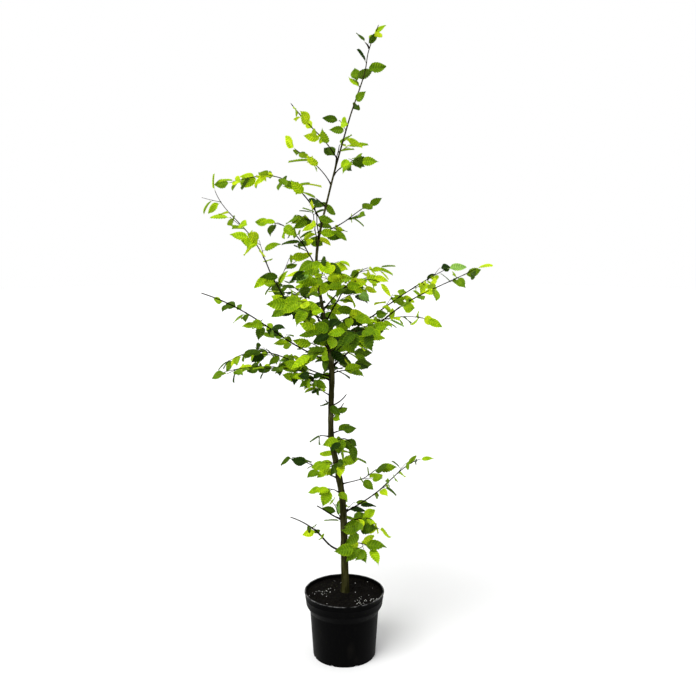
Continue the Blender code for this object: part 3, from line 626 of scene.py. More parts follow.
def blade_corners(leaf):
    """Four corners of a leaf's blade: its foot, its two sides and its tip, bent as it grows."""
    across = leaf.reach.cross(leaf.facing).normalized()
    found = []
    for side, share in BLADE_OUTLINE:
        lift = leaf.fold * abs(side) * leaf.width / 2 - leaf.droop * leaf.length * share ** 2
        spread = across * side * leaf.width * BLADE_REACH
        found.append(leaf.root + leaf.reach * leaf.length * share + spread + leaf.facing * lift)
    return found


class Hornbeam:
    """The whole tree: its limbs by kind, its buds, and its leaves by green."""

    def __init__(self):
        self.trunk, self.boughs, self.twigs = [], [], []
        self.sprays, self.buds, self.leaves = [], [], defaultdict(list)
        self.grow_trunk()
        for shoot in SHOOTS:
            self.grow_shoot(shoot)
        self.grow_leader()
        for spur in SPURS:
            self.grow_spur(*spur)
        blades = Blades(self.trunk + self.boughs + self.twigs, cad_box)
        for spray in self.sprays:
            self.grow_leaves(spray, blades)

    def grow_trunk(self):
        """The trunk and leader as one limb, thicker where shoots leave it."""
        foot = TRUNK_FOOT - TRUNK_SUNK
        rise = TREE_TOP - TIP_BUD - foot
        count = round(rise / TRUNK_STEP)
        line = []
        radii = []
        for index in range(count + 1):
            height = foot + rise * index / count
            swell = 1.0
            for shoot in SHOOTS:
                swell += TRUNK_SWELL * math.exp(-((height - shoot.foot) / TRUNK_SWELL_REACH) ** 2)
            above = max(height, TRUNK_FOOT)
            line.append(trunk_point(above) - UP * (above - height))
            radii.append(trunk_radius(above) * min(swell, TRUNK_SWELL_LIMIT))
        self.trunk.append((line, radii))
        self.add_tip_bud(line)

    def grow_shoot(self, shoot):
        """A side shoot from the trunk to its tip, with its side twigs and its nodes."""
        chance = random.Random(shoot.seed)
        axis = shoot_axis(shoot)
        inside = trunk_radius(shoot.foot)
        stub = shoot.bare >= shoot.length
        tip = BARE_TIP_DIAMETER if shoot.dry else TIP_DIAMETER
        if stub:
            tip = STUB_TIP * shoot.thick

        def radius_at(place):
            share = min(1, place / shoot.length) ** TAPER
            plain = shoot.thick / 2 + (tip - shoot.thick) / 2 * share
            return plain * (1 + COLLAR_SWELL * math.exp(-max(0, place - inside) / COLLAR_REACH))

        home = self.boughs if shoot.thick >= BOUGH_DIAMETER else self.twigs
        if stub:
            home.append(limb_course(axis, shoot.length, [], radius_at))
            return
        end = shoot.length - (shoot.dry or LAST_LEAF * leaf_length(shoot))
        turn = chance.uniform(0, math.pi)
        nodes = nodes_of(axis, max(shoot.bare, inside + NODE_FREE), end, shoot.gap, turn)
        home.append(limb_course(axis, shoot.length if shoot.dry else end, nodes, radius_at))
        self.grow_twigs(shoot, nodes, end, chance, turn)
        self.add_spray(shoot, nodes, None if shoot.dry else along(axis, end), chance)
        if shoot.dry:
            self.add_tip_bud(axis)

    def grow_leader(self):
        """The nodes and twigs of the leader, which carries the trunk on to the tree's tip."""
        chance = random.Random(LEADER.seed)
        rise = TREE_TOP - TRUNK_TOP
        steps = range(LEADER_STEPS + 1)
        axis = [trunk_point(TRUNK_TOP + rise * step / LEADER_STEPS) for step in steps]
        end = sum((after - before).length for before, after in zip(axis, axis[1:])) - LEADER_TIP
        turn = chance.uniform(0, math.pi)
        nodes = nodes_of(axis, 0.0, end, LEADER.gap, turn)
        self.grow_twigs(LEADER, nodes, end, chance, turn)
        self.add_spray(LEADER, nodes, None, chance)

    def grow_twigs(self, shoot, nodes, end, chance, turn):
        """The side twigs of a shoot, and a finer twig on each of the longer ones."""
        for made, node in enumerate(nodes[1::TWIG_EVERY][:shoot.twigs + SPARE_TWIGS]):
            length = shoot.twig * (TWIG_AT_FOOT - TWIG_SHORTENING * node.place / end)
            length *= chance.uniform(*TWIG_SPREAD)
            if made >= shoot.twigs:
                length *= SPARE_LENGTH
            twig_nodes = self.grow_twig(shoot, node, length, TWIG_DIAMETER, chance, turn)
            if length > TWIGLET_FROM:
                fine = TWIGLET_LENGTH * length
                for twig_node in twig_nodes[1::TWIGLET_EVERY]:
                    self.grow_twig(shoot, twig_node, fine, TWIGLET_DIAMETER, chance, turn)

    def grow_twig(self, shoot, node, length, diameter, chance, turn):
        """One twig with its spray of leaves. It gives back the nodes along it."""
        aim = forked(node, chance.uniform(*TWIG_FORK))
        sag = chance.uniform(*TWIG_SAG)
        points = [node.point]
        for step in range(TWIG_STEPS):
            heading = (aim - UP * sag * step / TWIG_STEPS).normalized()
            points.append(points[-1] + heading * length / TWIG_STEPS)
        end = length - TWIG_END
        gap = TWIG_GAP * shoot.gap
        nodes = nodes_of(points, TWIG_START * gap, end, gap, turn)

        def radius_at(place):
            plain = diameter / 2 + (TIP_DIAMETER - diameter) / 2 * min(1, place / length)
            return plain * (1 + TWIG_SWELL * math.exp(-place / TWIG_SWELL_REACH))

        self.twigs.append(limb_course(points, end, nodes, radius_at))
        self.add_spray(shoot, nodes, along(points, end), chance)
        return nodes

    def grow_spur(self, height, heading, length, climb):
        """A short bare spur on the stem, curved upwards, with a bud at its tip."""
        points = [trunk_point(height)]
        for step in range(SPUR_STEPS):
            aim = rising(heading, climb + SPUR_CURVE * (step / (SPUR_STEPS - 1) - 0.5))
            points.append(points[-1] + aim * length / SPUR_STEPS)
        thinning = BARE_TIP_DIAMETER - SPUR_DIAMETER
        steps = range(SPUR_STEPS + 1)
        radii = [(SPUR_DIAMETER + thinning * step / SPUR_STEPS) / 2 for step in steps]
        self.twigs.append((points, radii))
        self.add_tip_bud(points)

    def add_tip_bud(self, line):
        """A bud at the end of a bare tip."""
        aim = (line[-1] - line[-2]).normalized()
        self.add_bud(line[-1] - aim * MM, aim, UP, TIP_BUD)

    def add_bud(self, root, aim, side, length):
        width = BUD_WIDTH * length
        facing = aim.cross(side).normalized()
        self.buds.append(Sprout(root, aim, facing, width, length, width))

    def add_spray(self, shoot, nodes, tip, chance):
        bright = shoot.bright + chance.gauss(0, SPRAY_SPREAD)
        self.sprays.append(Spray(shoot, nodes, tip, bright, chance.randrange(10 ** 6)))

    def grow_leaves(self, spray, blades):
        """The leaves and buds of one spray. A leaf that finds no room is left out."""
        for place, chance in leaf_places(spray):
            for _ in range(TRIES):
                leaf = new_leaf(spray.shoot, place, chance)
                if blades.fits(blade_corners(leaf)):
                    self.leaves[green(spray.bright, chance)].append(leaf)
                    break
            aim = (place.direction + place.side * place.lean).normalized()
            root = place.point + place.side * BUD_OFFSET
            self.add_bud(root, aim, place.side, chance.uniform(*BUD_LENGTH))


def leaf_places(spray):
    """Where the leaves of a spray grow: at its nodes and at its tip. Each has its own chance,
    so that a leaf which finds no room doesn't change the others."""
    places = [Place(*node[1:], LEAF_FORK, BUD_LEAN) for node in spray.nodes]
    if spray.tip:
        point, direction = spray.tip
        places.append(Place(point, direction, sideways(direction, 0), TIP_FORK, 0.0))
    return [(place, random.Random(spray.seed + index)) for index, place in enumerate(places)]


def new_leaf(shoot, place, chance):
    """One leaf to one side of its twig, turned, sized and bent by chance."""
    aim = forked(place, chance.uniform(*place.forks))
    aim = (aim - UP * chance.uniform(*LEAF_SAG)).normalized()
    outwards = Vector((place.point.x, place.point.y, 0)).normalized()
    tilt = Vector([chance.uniform(-LEAF_TILT, LEAF_TILT) for _ in range(3)])
    across = aim.cross(LEAF_FACING + outwards * LEAF_OUTWARDS + tilt).normalized()
    length = leaf_length(shoot) * chance.uniform(*LEAF_SPREAD)
    width = (1 - STALK) * length * chance.uniform(*LEAF_WIDTH)
    bends = [chance.uniform(*spread) for spread in (LEAF_FOLD, LEAF_DROOP, LEAF_TWIST)]
    return Sprout(place.point, aim, across.cross(aim).normalized(), width, length, length, *bends)


def green(bright, chance):
    """The green of one leaf: its spray's, a little lighter or darker."""
    if chance.random() < MINT_SHARE:
        return MINT
    light = bright + chance.gauss(0, LEAF_COLOUR_SPREAD)
    return GREENS[max(0, min(len(GREENS) - 1, int(light * len(GREENS))))]


# Node trees, for shapes and for finishes

class Wiring:
    """Adds nodes to a tree and joins them."""

    def __init__(self, tree):
        self.tree = tree

    def put(self, value, socket):
        """Joins a socket to an input, or sets the input to a plain value."""
        if isinstance(value, bpy.types.NodeSocket):
            self.tree.links.new(value, socket)
        else:
            socket.default_value = value

    def node(self, kind, inputs=(), **settings):
        """A node with its inputs given by name or number. It gives back its outputs."""
        made = self.tree.nodes.new(kind)
        for name, value in settings.items():
            setattr(made, name, value)
        for key, value in dict(inputs).items():
            self.put(value, made.inputs[key])
        return made.outputs

    def geometry(self, kind, output=0, **inputs):
        """A geometry node with its inputs by name, where a low line stands for a space."""
        inputs = {name.replace("_", " "): value for name, value in inputs.items()}
        return self.node(f"GeometryNode{kind}", inputs)[output]

    def math(self, operation, *values):
        return self.node("ShaderNodeMath", dict(enumerate(values)), operation=operation)[0]

    def times(self, first, second):
        return self.math("MULTIPLY", first, second)

    def less(self, first, second):
        return self.math("SUBTRACT", first, second)

    def vector_math(self, operation, *values):
        inputs = dict(enumerate(values))
        return self.node("ShaderNodeVectorMath", inputs, operation=operation)

    def scaled(self, vector, factor):
        inputs = {0: vector, "Scale": factor}
        return self.node("ShaderNodeVectorMath", inputs, operation="SCALE")[0]

    def parts(self, vector):
        """The X, Y and Z of a vector."""
        return self.node("ShaderNodeSeparateXYZ", {0: vector})

    def ramp(self, value, low, high):
        """A soft step from 0 at low to 1 at high."""
        inputs = {"Value": value, "From Min": low, "From Max": high}
        return self.node("ShaderNodeMapRange", inputs, interpolation_type="SMOOTHSTEP")[0]

    def mix(self, share, first, second):
        """A colour between two."""
        inputs = {"Factor": share, "A": first, "B": second}
        return self.node("ShaderNodeMix", inputs, data_type="RGBA")["Result"]

    def noise(self, place, long, scale, detail, roughness):
        """Noise by place, drawn out along Z where long is under 1."""
        stretch = self.node("ShaderNodeCombineXYZ", {0: 1.0, 1: 1.0, 2: long})[0]
        drawn = self.vector_math("MULTIPLY", place, stretch)[0]
        inputs = {"Vector": drawn, "Scale": scale, "Detail": detail, "Roughness": roughness}
        return self.node("ShaderNodeTexNoise", inputs)["Fac"]

    def coordinates(self, kind):
        return self.node("ShaderNodeTexCoord")[kind]

    def stored(self, name, kind="FLOAT"):
        """The values that the mesh's points hold under a name."""
        inputs = {"Name": name}
        return self.node("GeometryNodeInputNamedAttribute", inputs, data_type=kind)["Attribute"]

    def chance(self, kind, **inputs):
        """A number or vector by chance, from its Min, Max and Seed."""
        return self.node("FunctionNodeRandomValue", inputs, data_type=kind)["Value"]

    def end(self, geometry, material, socket):
        """The end of a shape's tree: everything is made real and takes its finish."""
        real = self.geometry("RealizeInstances", Geometry=geometry)
        self.put(self.geometry("SetMaterial", Geometry=real, Material=material), socket)


def new_tree(name, kind, inputs, outputs):
    """An empty node tree with its wiring, from the kinds of its inputs and outputs by name."""
    tree = bpy.data.node_groups.new(name, f"{kind}NodeTree")
    for way, sockets in (("INPUT", inputs), ("OUTPUT", outputs)):
        for label, socket in sockets.items():
            tree.interface.new_socket(label, in_out=way, socket_type=f"NodeSocket{socket}")
    wires = Wiring(tree)
    given = wires.node("NodeGroupInput")
    return tree, wires, given, tree.nodes.new("NodeGroupOutput").inputs


def limb_tree():
    """Round limbs along lines: as thick as each line says, with the bark's fluting."""
    inputs = {"Lines": "Geometry", "Sides": "Int", "Bark": "Material"}
    inputs |= {"Relief": "Float", "Relief Scale": "Float"}
    tree, wires, given, out = new_tree(
        "limbs along lines", "Geometry", inputs, {"Limbs": "Geometry"}
    )
    line = wires.geometry("MeshToCurve", Mesh=given["Lines"])
    ring = wires.geometry("CurvePrimitiveCircle", Resolution=given["Sides"], Radius=1.0)
    thickness = wires.stored("thickness")
    tube = wires.geometry(
        "CurveToMesh", Curve=line, Profile_Curve=ring, Scale=thickness, Fill_Caps=True
    )
    place = wires.geometry("InputPosition")
    scale = given["Relief Scale"]
    fluting = wires.noise(place, long=0.22, scale=scale, detail=3.0, roughness=0.6)
    depth = wires.times(wires.times(wires.less(fluting, 0.5), given["Relief"]), thickness)
    offset = wires.scaled(wires.geometry("InputNormal"), depth)
    grown = wires.geometry("SetPosition", Geometry=tube, Offset=offset)
    wires.end(wires.geometry("SetShadeSmooth", Geometry=grown), given["Bark"], out["Limbs"])
    return tree


def sprouting_tree():
    """Leaves or buds on points, each turned, sized and bent as its point says."""
    inputs = {"Points": "Geometry", "Pattern": "Object", "Soft": "Bool", "Finish": "Material"}
    tree, wires, given, out = new_tree(
        "sprouting at points", "Geometry", inputs, {"Grown": "Geometry"}
    )
    pattern = wires.geometry("ObjectInfo", "Geometry", Object=given["Pattern"])
    reach = wires.stored("reach", "FLOAT_VECTOR")
    facing = wires.stored("facing", "FLOAT_VECTOR")
    size = wires.stored("size", "FLOAT_VECTOR")
    axes = {"Primary Axis": reach, "Secondary Axis": facing}
    turn = wires.node("FunctionNodeAxesToRotation", axes, primary_axis="Y", secondary_axis="Z")[0]
    sprouts = wires.geometry(
        "InstanceOnPoints", Points=given["Points"], Instance=pattern, Rotation=turn, Scale=size
    )
    real = wires.geometry("RealizeInstances", Geometry=sprouts)
    place = wires.stored("along")
    across = wires.stored("across")
    width, length, _ = wires.parts(size)
    folded = wires.times(wires.math("ABSOLUTE", across), wires.stored("fold"))
    twisted = wires.times(wires.times(across, place), wires.stored("twist"))
    risen = wires.times(wires.math("ADD", folded, twisted), wires.times(width, 0.5))
    bent = wires.times(wires.times(place, place), wires.stored("droop"))
    offset = wires.scaled(facing, wires.less(risen, wires.times(bent, length)))
    shaped = wires.geometry("SetPosition", Geometry=real, Offset=offset)
    soft = wires.geometry("SetShadeSmooth", Geometry=shaped, Shade_Smooth=given["Soft"])
    wires.end(soft, given["Finish"], out["Grown"])
    return tree


def crumb_tree():
    """Crumbs strewn over a level surface, turned any way, from a few patterns."""
    inputs = {"Surface": "Geometry", "Patterns": "Collection", "Finish": "Material"}
    inputs |= {"First Patch": "Vector", "Second Patch": "Vector", "Seed": "Int"}
    floats = ("Crumbs per m2", "Patchiness", "Patch Radius", "Smallest", "Largest")
    inputs |= dict.fromkeys(floats, "Float")
    tree, wires, given, out = new_tree(
        "crumbs on a surface", "Geometry", inputs, {"Crumbs": "Geometry"}
    )
    up = wires.parts(wires.geometry("InputNormal"))["Z"]
    limits = {"A": up, "B": LEAST_LEVEL}
    level = wires.node("FunctionNodeCompare", limits, operation="GREATER_THAN")[0]
    place = wires.geometry("InputPosition")
    first = wires.vector_math("DISTANCE", place, given["First Patch"])["Value"]
    second = wires.vector_math("DISTANCE", place, given["Second Patch"])["Value"]
    nearest = wires.math("DIVIDE", wires.math("MINIMUM", first, second), given["Patch Radius"])
    bare = wires.times(wires.ramp(nearest, PATCH_HEART, 1.0), given["Patchiness"])
    density = wires.times(given["Crumbs per m2"], wires.less(1.0, bare))
    seed = given["Seed"]
    points = wires.geometry(
        "DistributePointsOnFaces",
        Mesh=given["Surface"], Selection=level, Density=density, Seed=seed,
    )
    patterns = wires.geometry(
        "CollectionInfo",
        Collection=given["Patterns"], Separate_Children=True, Reset_Children=True,
    )
    angles = wires.chance("FLOAT_VECTOR", Max=(math.tau, math.tau, math.tau), Seed=seed)
    turn = wires.node("FunctionNodeEulerToRotation", {"Euler": angles})[0]
    grade = wires.chance("FLOAT", Min=given["Smallest"], Max=given["Largest"], Seed=seed)
    strewn = wires.geometry(
        "InstanceOnPoints",
        Points=points, Instance=patterns, Pick_Instance=True, Rotation=turn, Scale=grade,
    )
    wires.end(strewn, given["Finish"], out["Crumbs"])
    return tree


# Making pieces from meshes and trees

def add_piece(name, data):
    piece = bpy.data.objects.new(name, data)
    bpy.context.scene.collection.objects.link(piece)
    return piece


def make_plain(piece):
    """Replaces a piece's mesh by what its modifiers make of it."""
    graph = bpy.context.evaluated_depsgraph_get()
    mesh = bpy.data.meshes.new_from_object(piece.evaluated_get(graph))
    piece.modifiers.clear()
    old = piece.data
    piece.data = mesh
    bpy.data.meshes.remove(old)
    mesh.name = piece.name
    return piece


def grown(name, mesh, tree, values):
    """A plain piece that a geometry tree makes of a mesh, with the tree's inputs by name."""
    piece = add_piece(name, mesh)
    modifier = piece.modifiers.new("Grown", "NODES")
    modifier.node_group = tree
    for item in tree.interface.items_tree:
        if item.in_out == "INPUT" and item.name in values:
            modifier[item.identifier] = values[item.name]
    return make_plain(piece)


def fit_piece(piece, slot, *nodes):
    """Fits a finished piece to the body and hides the nodes that it stands for. Its slot is not
    used.
    """
    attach(piece, "root")
    if nodes:
        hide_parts(*nodes)


def shade(piece, material, crease):
    """Gives a piece its finish, soft but for edges sharper than a crease in degrees."""
    piece.data.materials.clear()
    piece.data.materials.append(material)
    piece.data.shade_smooth()
    piece.data.set_sharp_from_angle(angle=math.radians(crease))


def new_mesh(name, corners, edges, faces):
    mesh = bpy.data.meshes.new(name)
    mesh.from_pydata(corners, edges, faces)
    return mesh


def set_numbers(mesh, name, values):
    """Stores one number for each point of a mesh under a name."""
    mesh.attributes.new(name, "FLOAT", "POINT").data.foreach_set("value", values)


def set_vectors(mesh, name, values):
    """Stores one vector for each point of a mesh under a name."""
    parts = [part for value in values for part in value]
    mesh.attributes.new(name, "FLOAT_VECTOR", "POINT").data.foreach_set("vector", parts)


def lines_mesh(name, limbs):
    """Limbs as loose lines, with the thickness at each of their points."""
    corners = []
    edges = []
    radii = []
    for line, widths in limbs:
        first = len(corners)
        edges += [(index, index + 1) for index in range(first, first + len(line) - 1)]
        corners += line
        radii += widths
    mesh = new_mesh(name, corners, edges, [])
    set_numbers(mesh, "thickness", radii)
    return mesh


def sprout_points(name, sprouts):
    """One point for each leaf or bud, with its turn, its size and its bend."""
    mesh = new_mesh(name, [sprout.root for sprout in sprouts], [], [])
    for turn in ("reach", "facing"):
        set_vectors(mesh, turn, [getattr(sprout, turn) for sprout in sprouts])
    set_vectors(mesh, "size", [(sprout.width, sprout.length, sprout.depth) for sprout in sprouts])
    for bend in ("fold", "droop", "twist"):
        set_numbers(mesh, bend, [getattr(sprout, bend) for sprout in sprouts])
    return mesh


# The shapes that trees repeat

def new_home(name):
    """A collection for shapes that are used and then cleared away."""
    home = bpy.data.collections.new(name)
    bpy.context.scene.collection.children.link(home)
    return home


def hidden(name, mesh, home):
    """A shape that a tree repeats or a cut uses. It isn't shown itself."""
    pattern = bpy.data.objects.new(name, mesh)
    home.objects.link(pattern)
    pattern.hide_render = True
    pattern.display_type = "WIRE"
    return pattern


def hidden_from(shape, name, home):
    """A hidden shape from an edit mesh, which it frees."""
    mesh = bpy.data.meshes.new(name)
    shape.to_mesh(mesh)
    shape.free()
    return hidden(name, mesh, home)


def clear_home(home):
    for pattern in list(home.objects):
        bpy.data.objects.remove(pattern)
    bpy.data.collections.remove(home)


def leaf_pattern(home):
    """A hornbeam leaf on its stalk, one unit long and wide: pleated along its side veins,
    with a tooth where each of them ends."""
    rows = 2 * VEIN_PAIRS
    width = len(BLADE_ACROSS)
    corners = []
    marks = []
    faces = []

    def add(x, y, z, across=0, row=0):
        corners.append((x, STALK + (1 - STALK) * y, z))
        marks.append((across, row / rows))

    for row in range(rows):
        share = row / rows
        vein = row % 2 == 0
        rib = VEIN_SPAN * share ** RIB_CROWDING
        margin = 1 - VEIN_SPAN + VEIN_SPAN * share ** MARGIN_CROWDING
        tooth = 1 + TOOTH if vein else 1 - TOOTH
        half = 0.5 * smooth(BLADE_PLACES, BLADE_WIDTHS, margin) * tooth
        pleat = -PLEAT if vein else PLEAT
        for across in BLADE_ACROSS:
            reach = abs(across)
            y = rib + (margin - rib) * reach ** VEIN_BEND
            add(half * across, y, pleat * PLEAT_ACROSS[round(2 * reach)], across, row)
    tip = len(corners)
    add(0, 1, 0, row=rows)
    for row in range(rows):
        for low in range(row * width, (row + 1) * width - 1):
            high = (tip,) if row == rows - 1 else (low + width + 1, low + width)
            faces.append((low, low + 1, *high))
    faces += tube_faces(len(corners), 2, 3)
    for y, radius in STALK_ENDS:
        for turn in range(3):
            angle = math.tau * (turn + 0.25) / 3
            x = STALK_FLATNESS * radius * math.cos(angle)
            add(x, y, radius * math.sin(angle) - STALK_DROP)
    mesh = new_mesh("leaf pattern", corners, [], faces)
    set_numbers(mesh, "along", [y for x, y, z in corners])
    set_numbers(mesh, "across", [across for across, share in marks])
    chart = mesh.uv_layers.new(name="UVMap")
    for loop in mesh.loops:
        across, share = marks[loop.vertex_index]
        chart.data[loop.index].uv = (0.5 + 0.5 * across, share)
    return hidden("leaf pattern", mesh, home)


def bud_pattern(home):
    """A slender pointed bud, one unit long and wide."""
    corners = []
    for place, radius in BUD_RINGS:
        for turn in range(BUD_SIDES):
            angle = math.tau * turn / BUD_SIDES
            corners.append((radius * math.cos(angle), place, radius * math.sin(angle)))
    last = len(corners) - BUD_SIDES
    tip, foot = len(corners), len(corners) + 1
    corners += BUD_ENDS
    faces = [face[::-1] for face in tube_faces(0, len(BUD_RINGS), BUD_SIDES)]
    for turn in range(BUD_SIDES):
        side = (turn + 1) % BUD_SIDES
        faces += [(last + turn, tip, last + side), (side, foot, turn)]
    return hidden("bud pattern", new_mesh("bud pattern", corners, [], faces), home)


def crumb_patterns(name, flatness, count=3):
    """A few angular lumps, one unit across, in a collection of their own."""
    home = new_home(name)
    for index in range(count):
        lump = bmesh.new()
        bmesh.ops.create_icosphere(lump, subdivisions=1, radius=0.5)
        for corner in lump.verts:
            shift = Vector((LUMP_SHIFT * index, 0, flatness))
            bump = noise.noise(corner.co * LUMP_SCALE + shift)
            corner.co *= 1 + LUMP_DEPTH * bump
            corner.co.z *= flatness
        hidden_from(lump, f"{name} {index + 1}", home)
    return home


# Finishes

def patches_group():
    """Soft patches over a surface, from object coordinates, as a mask."""
    inputs = dict.fromkeys(("Scale", "Long", "From", "To"), "Float")
    tree, wires, given, out = new_tree("patches", "Shader", inputs, {"Mask": "Float"})
    place = wires.coordinates("Object")
    cloud = wires.noise(place, given["Long"], given["Scale"], detail=4.0, roughness=0.5)
    wires.put(wires.ramp(cloud, given["From"], given["To"]), out["Mask"])
    return tree


def grain_group():
    """Fine grain over a surface, as a height."""
    inputs = dict.fromkeys(("Scale", "Long", "Detail"), "Float")
    tree, wires, given, out = new_tree("grain", "Shader", inputs, {"Height": "Float"})
    place = wires.coordinates("Object")
    grain = wires.noise(place, given["Long"], given["Scale"], given["Detail"], roughness=0.65)
    wires.put(grain, out["Height"])
    return tree


def veins_group():
    """The veins of a leaf, from its own chart, as masks of the veins, of painted shade in the
    furrows between them and of the margin, and the pleats' height."""
    inputs = {"Pairs": "Float", "Width": "Float"}
    outputs = dict.fromkeys(("Veins", "Furrows", "Margin", "Height"), "Float")
    tree, wires, given, out = new_tree("leaf veins", "Shader", inputs, outputs)
    across, up, _ = wires.parts(wires.coordinates("UV"))
    off_rib = wires.math("ABSOLUTE", wires.less(wires.times(across, 2.0), 1.0))
    rib = wires.less(1.0, wires.ramp(off_rib, 0.0, given["Width"]))
    turns = wires.math("ADD", wires.times(up, given["Pairs"]), 0.5)
    wave = wires.math("ABSOLUTE", wires.less(wires.math("FRACT", turns), 0.5))
    near_vein = wires.less(1.0, wires.times(wave, 2.0))
    side_vein = wires.times(wires.ramp(near_vein, low=0.72, high=1.0), 0.75)
    wires.put(wires.math("MAXIMUM", rib, side_vein), out["Veins"])
    wires.put(wires.ramp(near_vein, low=0.35, high=0.80), out["Furrows"])
    wires.put(wires.ramp(off_rib, low=0.72, high=1.0), out["Margin"])
    wires.put(wires.times(near_vein, -1.0), out["Height"])
    return tree


PATCHES = patches_group()
GRAIN = grain_group()
VEINS = veins_group()


class Finish(Wiring):
    """A material in the making, with the Principled shader's inputs by name."""

    def __init__(self, name, colour, roughness, shine=0.5):
        self.material = bpy.data.materials.new(name)
        self.material.use_nodes = True
        self.material.diffuse_color = (*colour, 1)
        super().__init__(self.material.node_tree)
        self.shader = self.tree.nodes["Principled BSDF"].inputs
        self.shader["Base Color"].default_value = (*colour, 1)
        self.shader["Roughness"].default_value = roughness
        self.shader["Specular IOR Level"].default_value = shine

    def patches(self, scale, start, full, long=1.0):
        """A mask of soft patches, from where the noise starts to show to where it is full."""
        inputs = {"Scale": scale, "Long": long, "From": start, "To": full}
        return self.node("ShaderNodeGroup", inputs, node_tree=PATCHES)["Mask"]

    def marked(self, colour, *marks):
        """A colour with marks over it, each as its mask, its strength and its own colour."""
        for mask, strength, tint in marks:
            colour = self.mix(self.times(mask, strength), colour, tint)
        return colour

    def colour(self, value):
        self.put(value, self.shader["Base Color"])

    def rough(self, mask, change, plain):
        """The roughness, changed from a plain one by a mask."""
        self.put(self.math("MULTIPLY_ADD", mask, change, plain), self.shader["Roughness"])

    def bump(self, height, depth):
        inputs = {"Strength": 1.0, "Distance": depth, "Height": height}
        self.put(self.node("ShaderNodeBump", inputs)["Normal"], self.shader["Normal"])

    def grain(self, scale, detail, depth, long=1.0):
        """Fine grain as bumps of a depth."""
        inputs = {"Scale": scale, "Long": long, "Detail": detail}
        self.bump(self.node("ShaderNodeGroup", inputs, node_tree=GRAIN)["Height"], depth)


def tinted(colour, factors, more=(0, 0, 0)):
    """A colour with each part taken times a factor, and a little more added to it."""
    return (*(part * factor + extra for part, factor, extra in zip(colour, factors, more)), 1)


def leaf_finish(name, colour):
    """A leaf blade: darker with painted shade in the furrows between paler veins, and pale and
    dull underneath.
    """
    finish = Finish(f"leaf {name}", colour, roughness=0.42, shine=0.06)
    dark, light, under = (tinted(colour, *shade) for shade in LEAF_SHADES)
    mottle = finish.patches(scale=70.0, start=0.35, full=0.65)
    veins = finish.node("ShaderNodeGroup", {"Pairs": VEIN_PAIRS, "Width": 0.09}, node_tree=VEINS)
    marks = [(veins[mask], share, tinted(colour, *shade)) for mask, share, *shade in LEAF_MARKS]
    blade = finish.marked(finish.mix(mottle, dark, light), *marks)
    back = finish.node("ShaderNodeNewGeometry")["Backfacing"]
    finish.colour(finish.mix(back, blade, under))
    finish.rough(back, change=0.22, plain=0.42)
    finish.bump(veins["Height"], depth=0.4 * MM)
    return finish.material


def bark(name, colour, pale, share):
    """Bark with long streaks, pale patches over a share of it, and fine grain."""
    finish = Finish(name, colour, roughness=0.75, shine=0.0)
    streaks = finish.patches(scale=160.0, start=0.35, full=0.70, long=0.12)
    patches = finish.patches(scale=38.0, start=0.52, full=0.72, long=0.45)
    dark, light = (tinted(colour, shade) for shade in BARK_SHADES)
    streaked = finish.mix(streaks, dark, light)
    finish.colour(finish.marked(streaked, (patches, 2 * share, (*pale, 1))))
    finish.rough(streaks, change=0.2, plain=0.62)
    finish.grain(scale=420.0, detail=5.0, depth=0.5 * MM, long=0.35)
    return finish.material


def pot_plastic():
    """Black pot plastic, dull and a little scuffed, with dust in places and a painted highlight
    in patches along the rim's edge.
    """
    finish = Finish("pot plastic", (0.0012, 0.0012, 0.0014), roughness=0.5, shine=0.02)
    scuffs = finish.patches(scale=130.0, start=0.45, full=0.75, long=2.2)
    dust = finish.patches(scale=24.0, start=0.55, full=0.85, long=0.5)
    # Patches where a painted highlight lies along the rim's top edge
    highlight_patches = finish.patches(scale=45.0, start=0.38, full=0.66)
    height = finish.parts(finish.coordinates("Object"))["Z"]
    edge = finish.ramp(height, low=POT_HEIGHT - 1.8 * MM, high=POT_HEIGHT - 0.6 * MM)
    marks = (scuffs, 0.35, SCUFFED), (dust, 0.25, DUSTY), (finish.times(edge, highlight_patches), 0.8, RIM_HIGHLIGHT)
    finish.colour(finish.marked(BLACK, *marks))
    finish.rough(scuffs, change=0.16, plain=0.42)
    finish.grain(scale=900.0, detail=2.0, depth=0.08 * MM)
    return finish.material


def soil(name, dark, light):
    """A crumbly finish from a dark to a light colour."""
    finish = Finish(name, dark, roughness=0.95, shine=0.06)
    spots = finish.patches(scale=170.0, start=0.38, full=0.68)
    finish.colour(finish.mix(spots, (*dark, 1), (*light, 1)))
    finish.grain(scale=520.0, detail=6.0, depth=0.8 * MM)
    return finish.material


# The pot and its compost

def turned(name, profile, sides):
    """A solid of revolution from a profile of radius and height, down its outer side."""
    corners = [(radius, 0, height) for radius, height in profile]
    edges = [(index, index + 1) for index in range(len(corners) - 1)]
    piece = add_piece(name, new_mesh(name, corners, edges, []))
    screw = piece.modifiers.new("Turned", "SCREW")
    screw.steps = sides
    screw.render_steps = sides
    screw.use_merge_vertices = True
    screw.merge_threshold = MERGE
    return piece


def rounded_profile(points):
    """A profile of (radius, height, rounding) points, with its corners rounded off."""
    found = []
    for index, (radius, height, rounding) in enumerate(points):
        if not rounding:
            found.append((radius, height))
            continue
        corner = Vector((radius, height))
        before = (Vector(points[index - 1][:2]) - corner).normalized() * rounding
        after = (Vector(points[index + 1][:2]) - corner).normalized() * rounding
        for step in range(CORNER_STEPS + 1):
            share = step / CORNER_STEPS
            first = (corner + before).lerp(corner, share)
            second = corner.lerp(corner + after, share)
            found.append(tuple(first.lerp(second, share)))
    return found


def inside_radius(height):
    """The pot's inner radius at a height below its rim."""
    for (low_radius, low), (high_radius, high) in zip(WALL, WALL[1:]):
        if height <= high:
            share = (height - low) / (high - low)
            return low_radius + share * (high_radius - low_radius) - POT_WALL


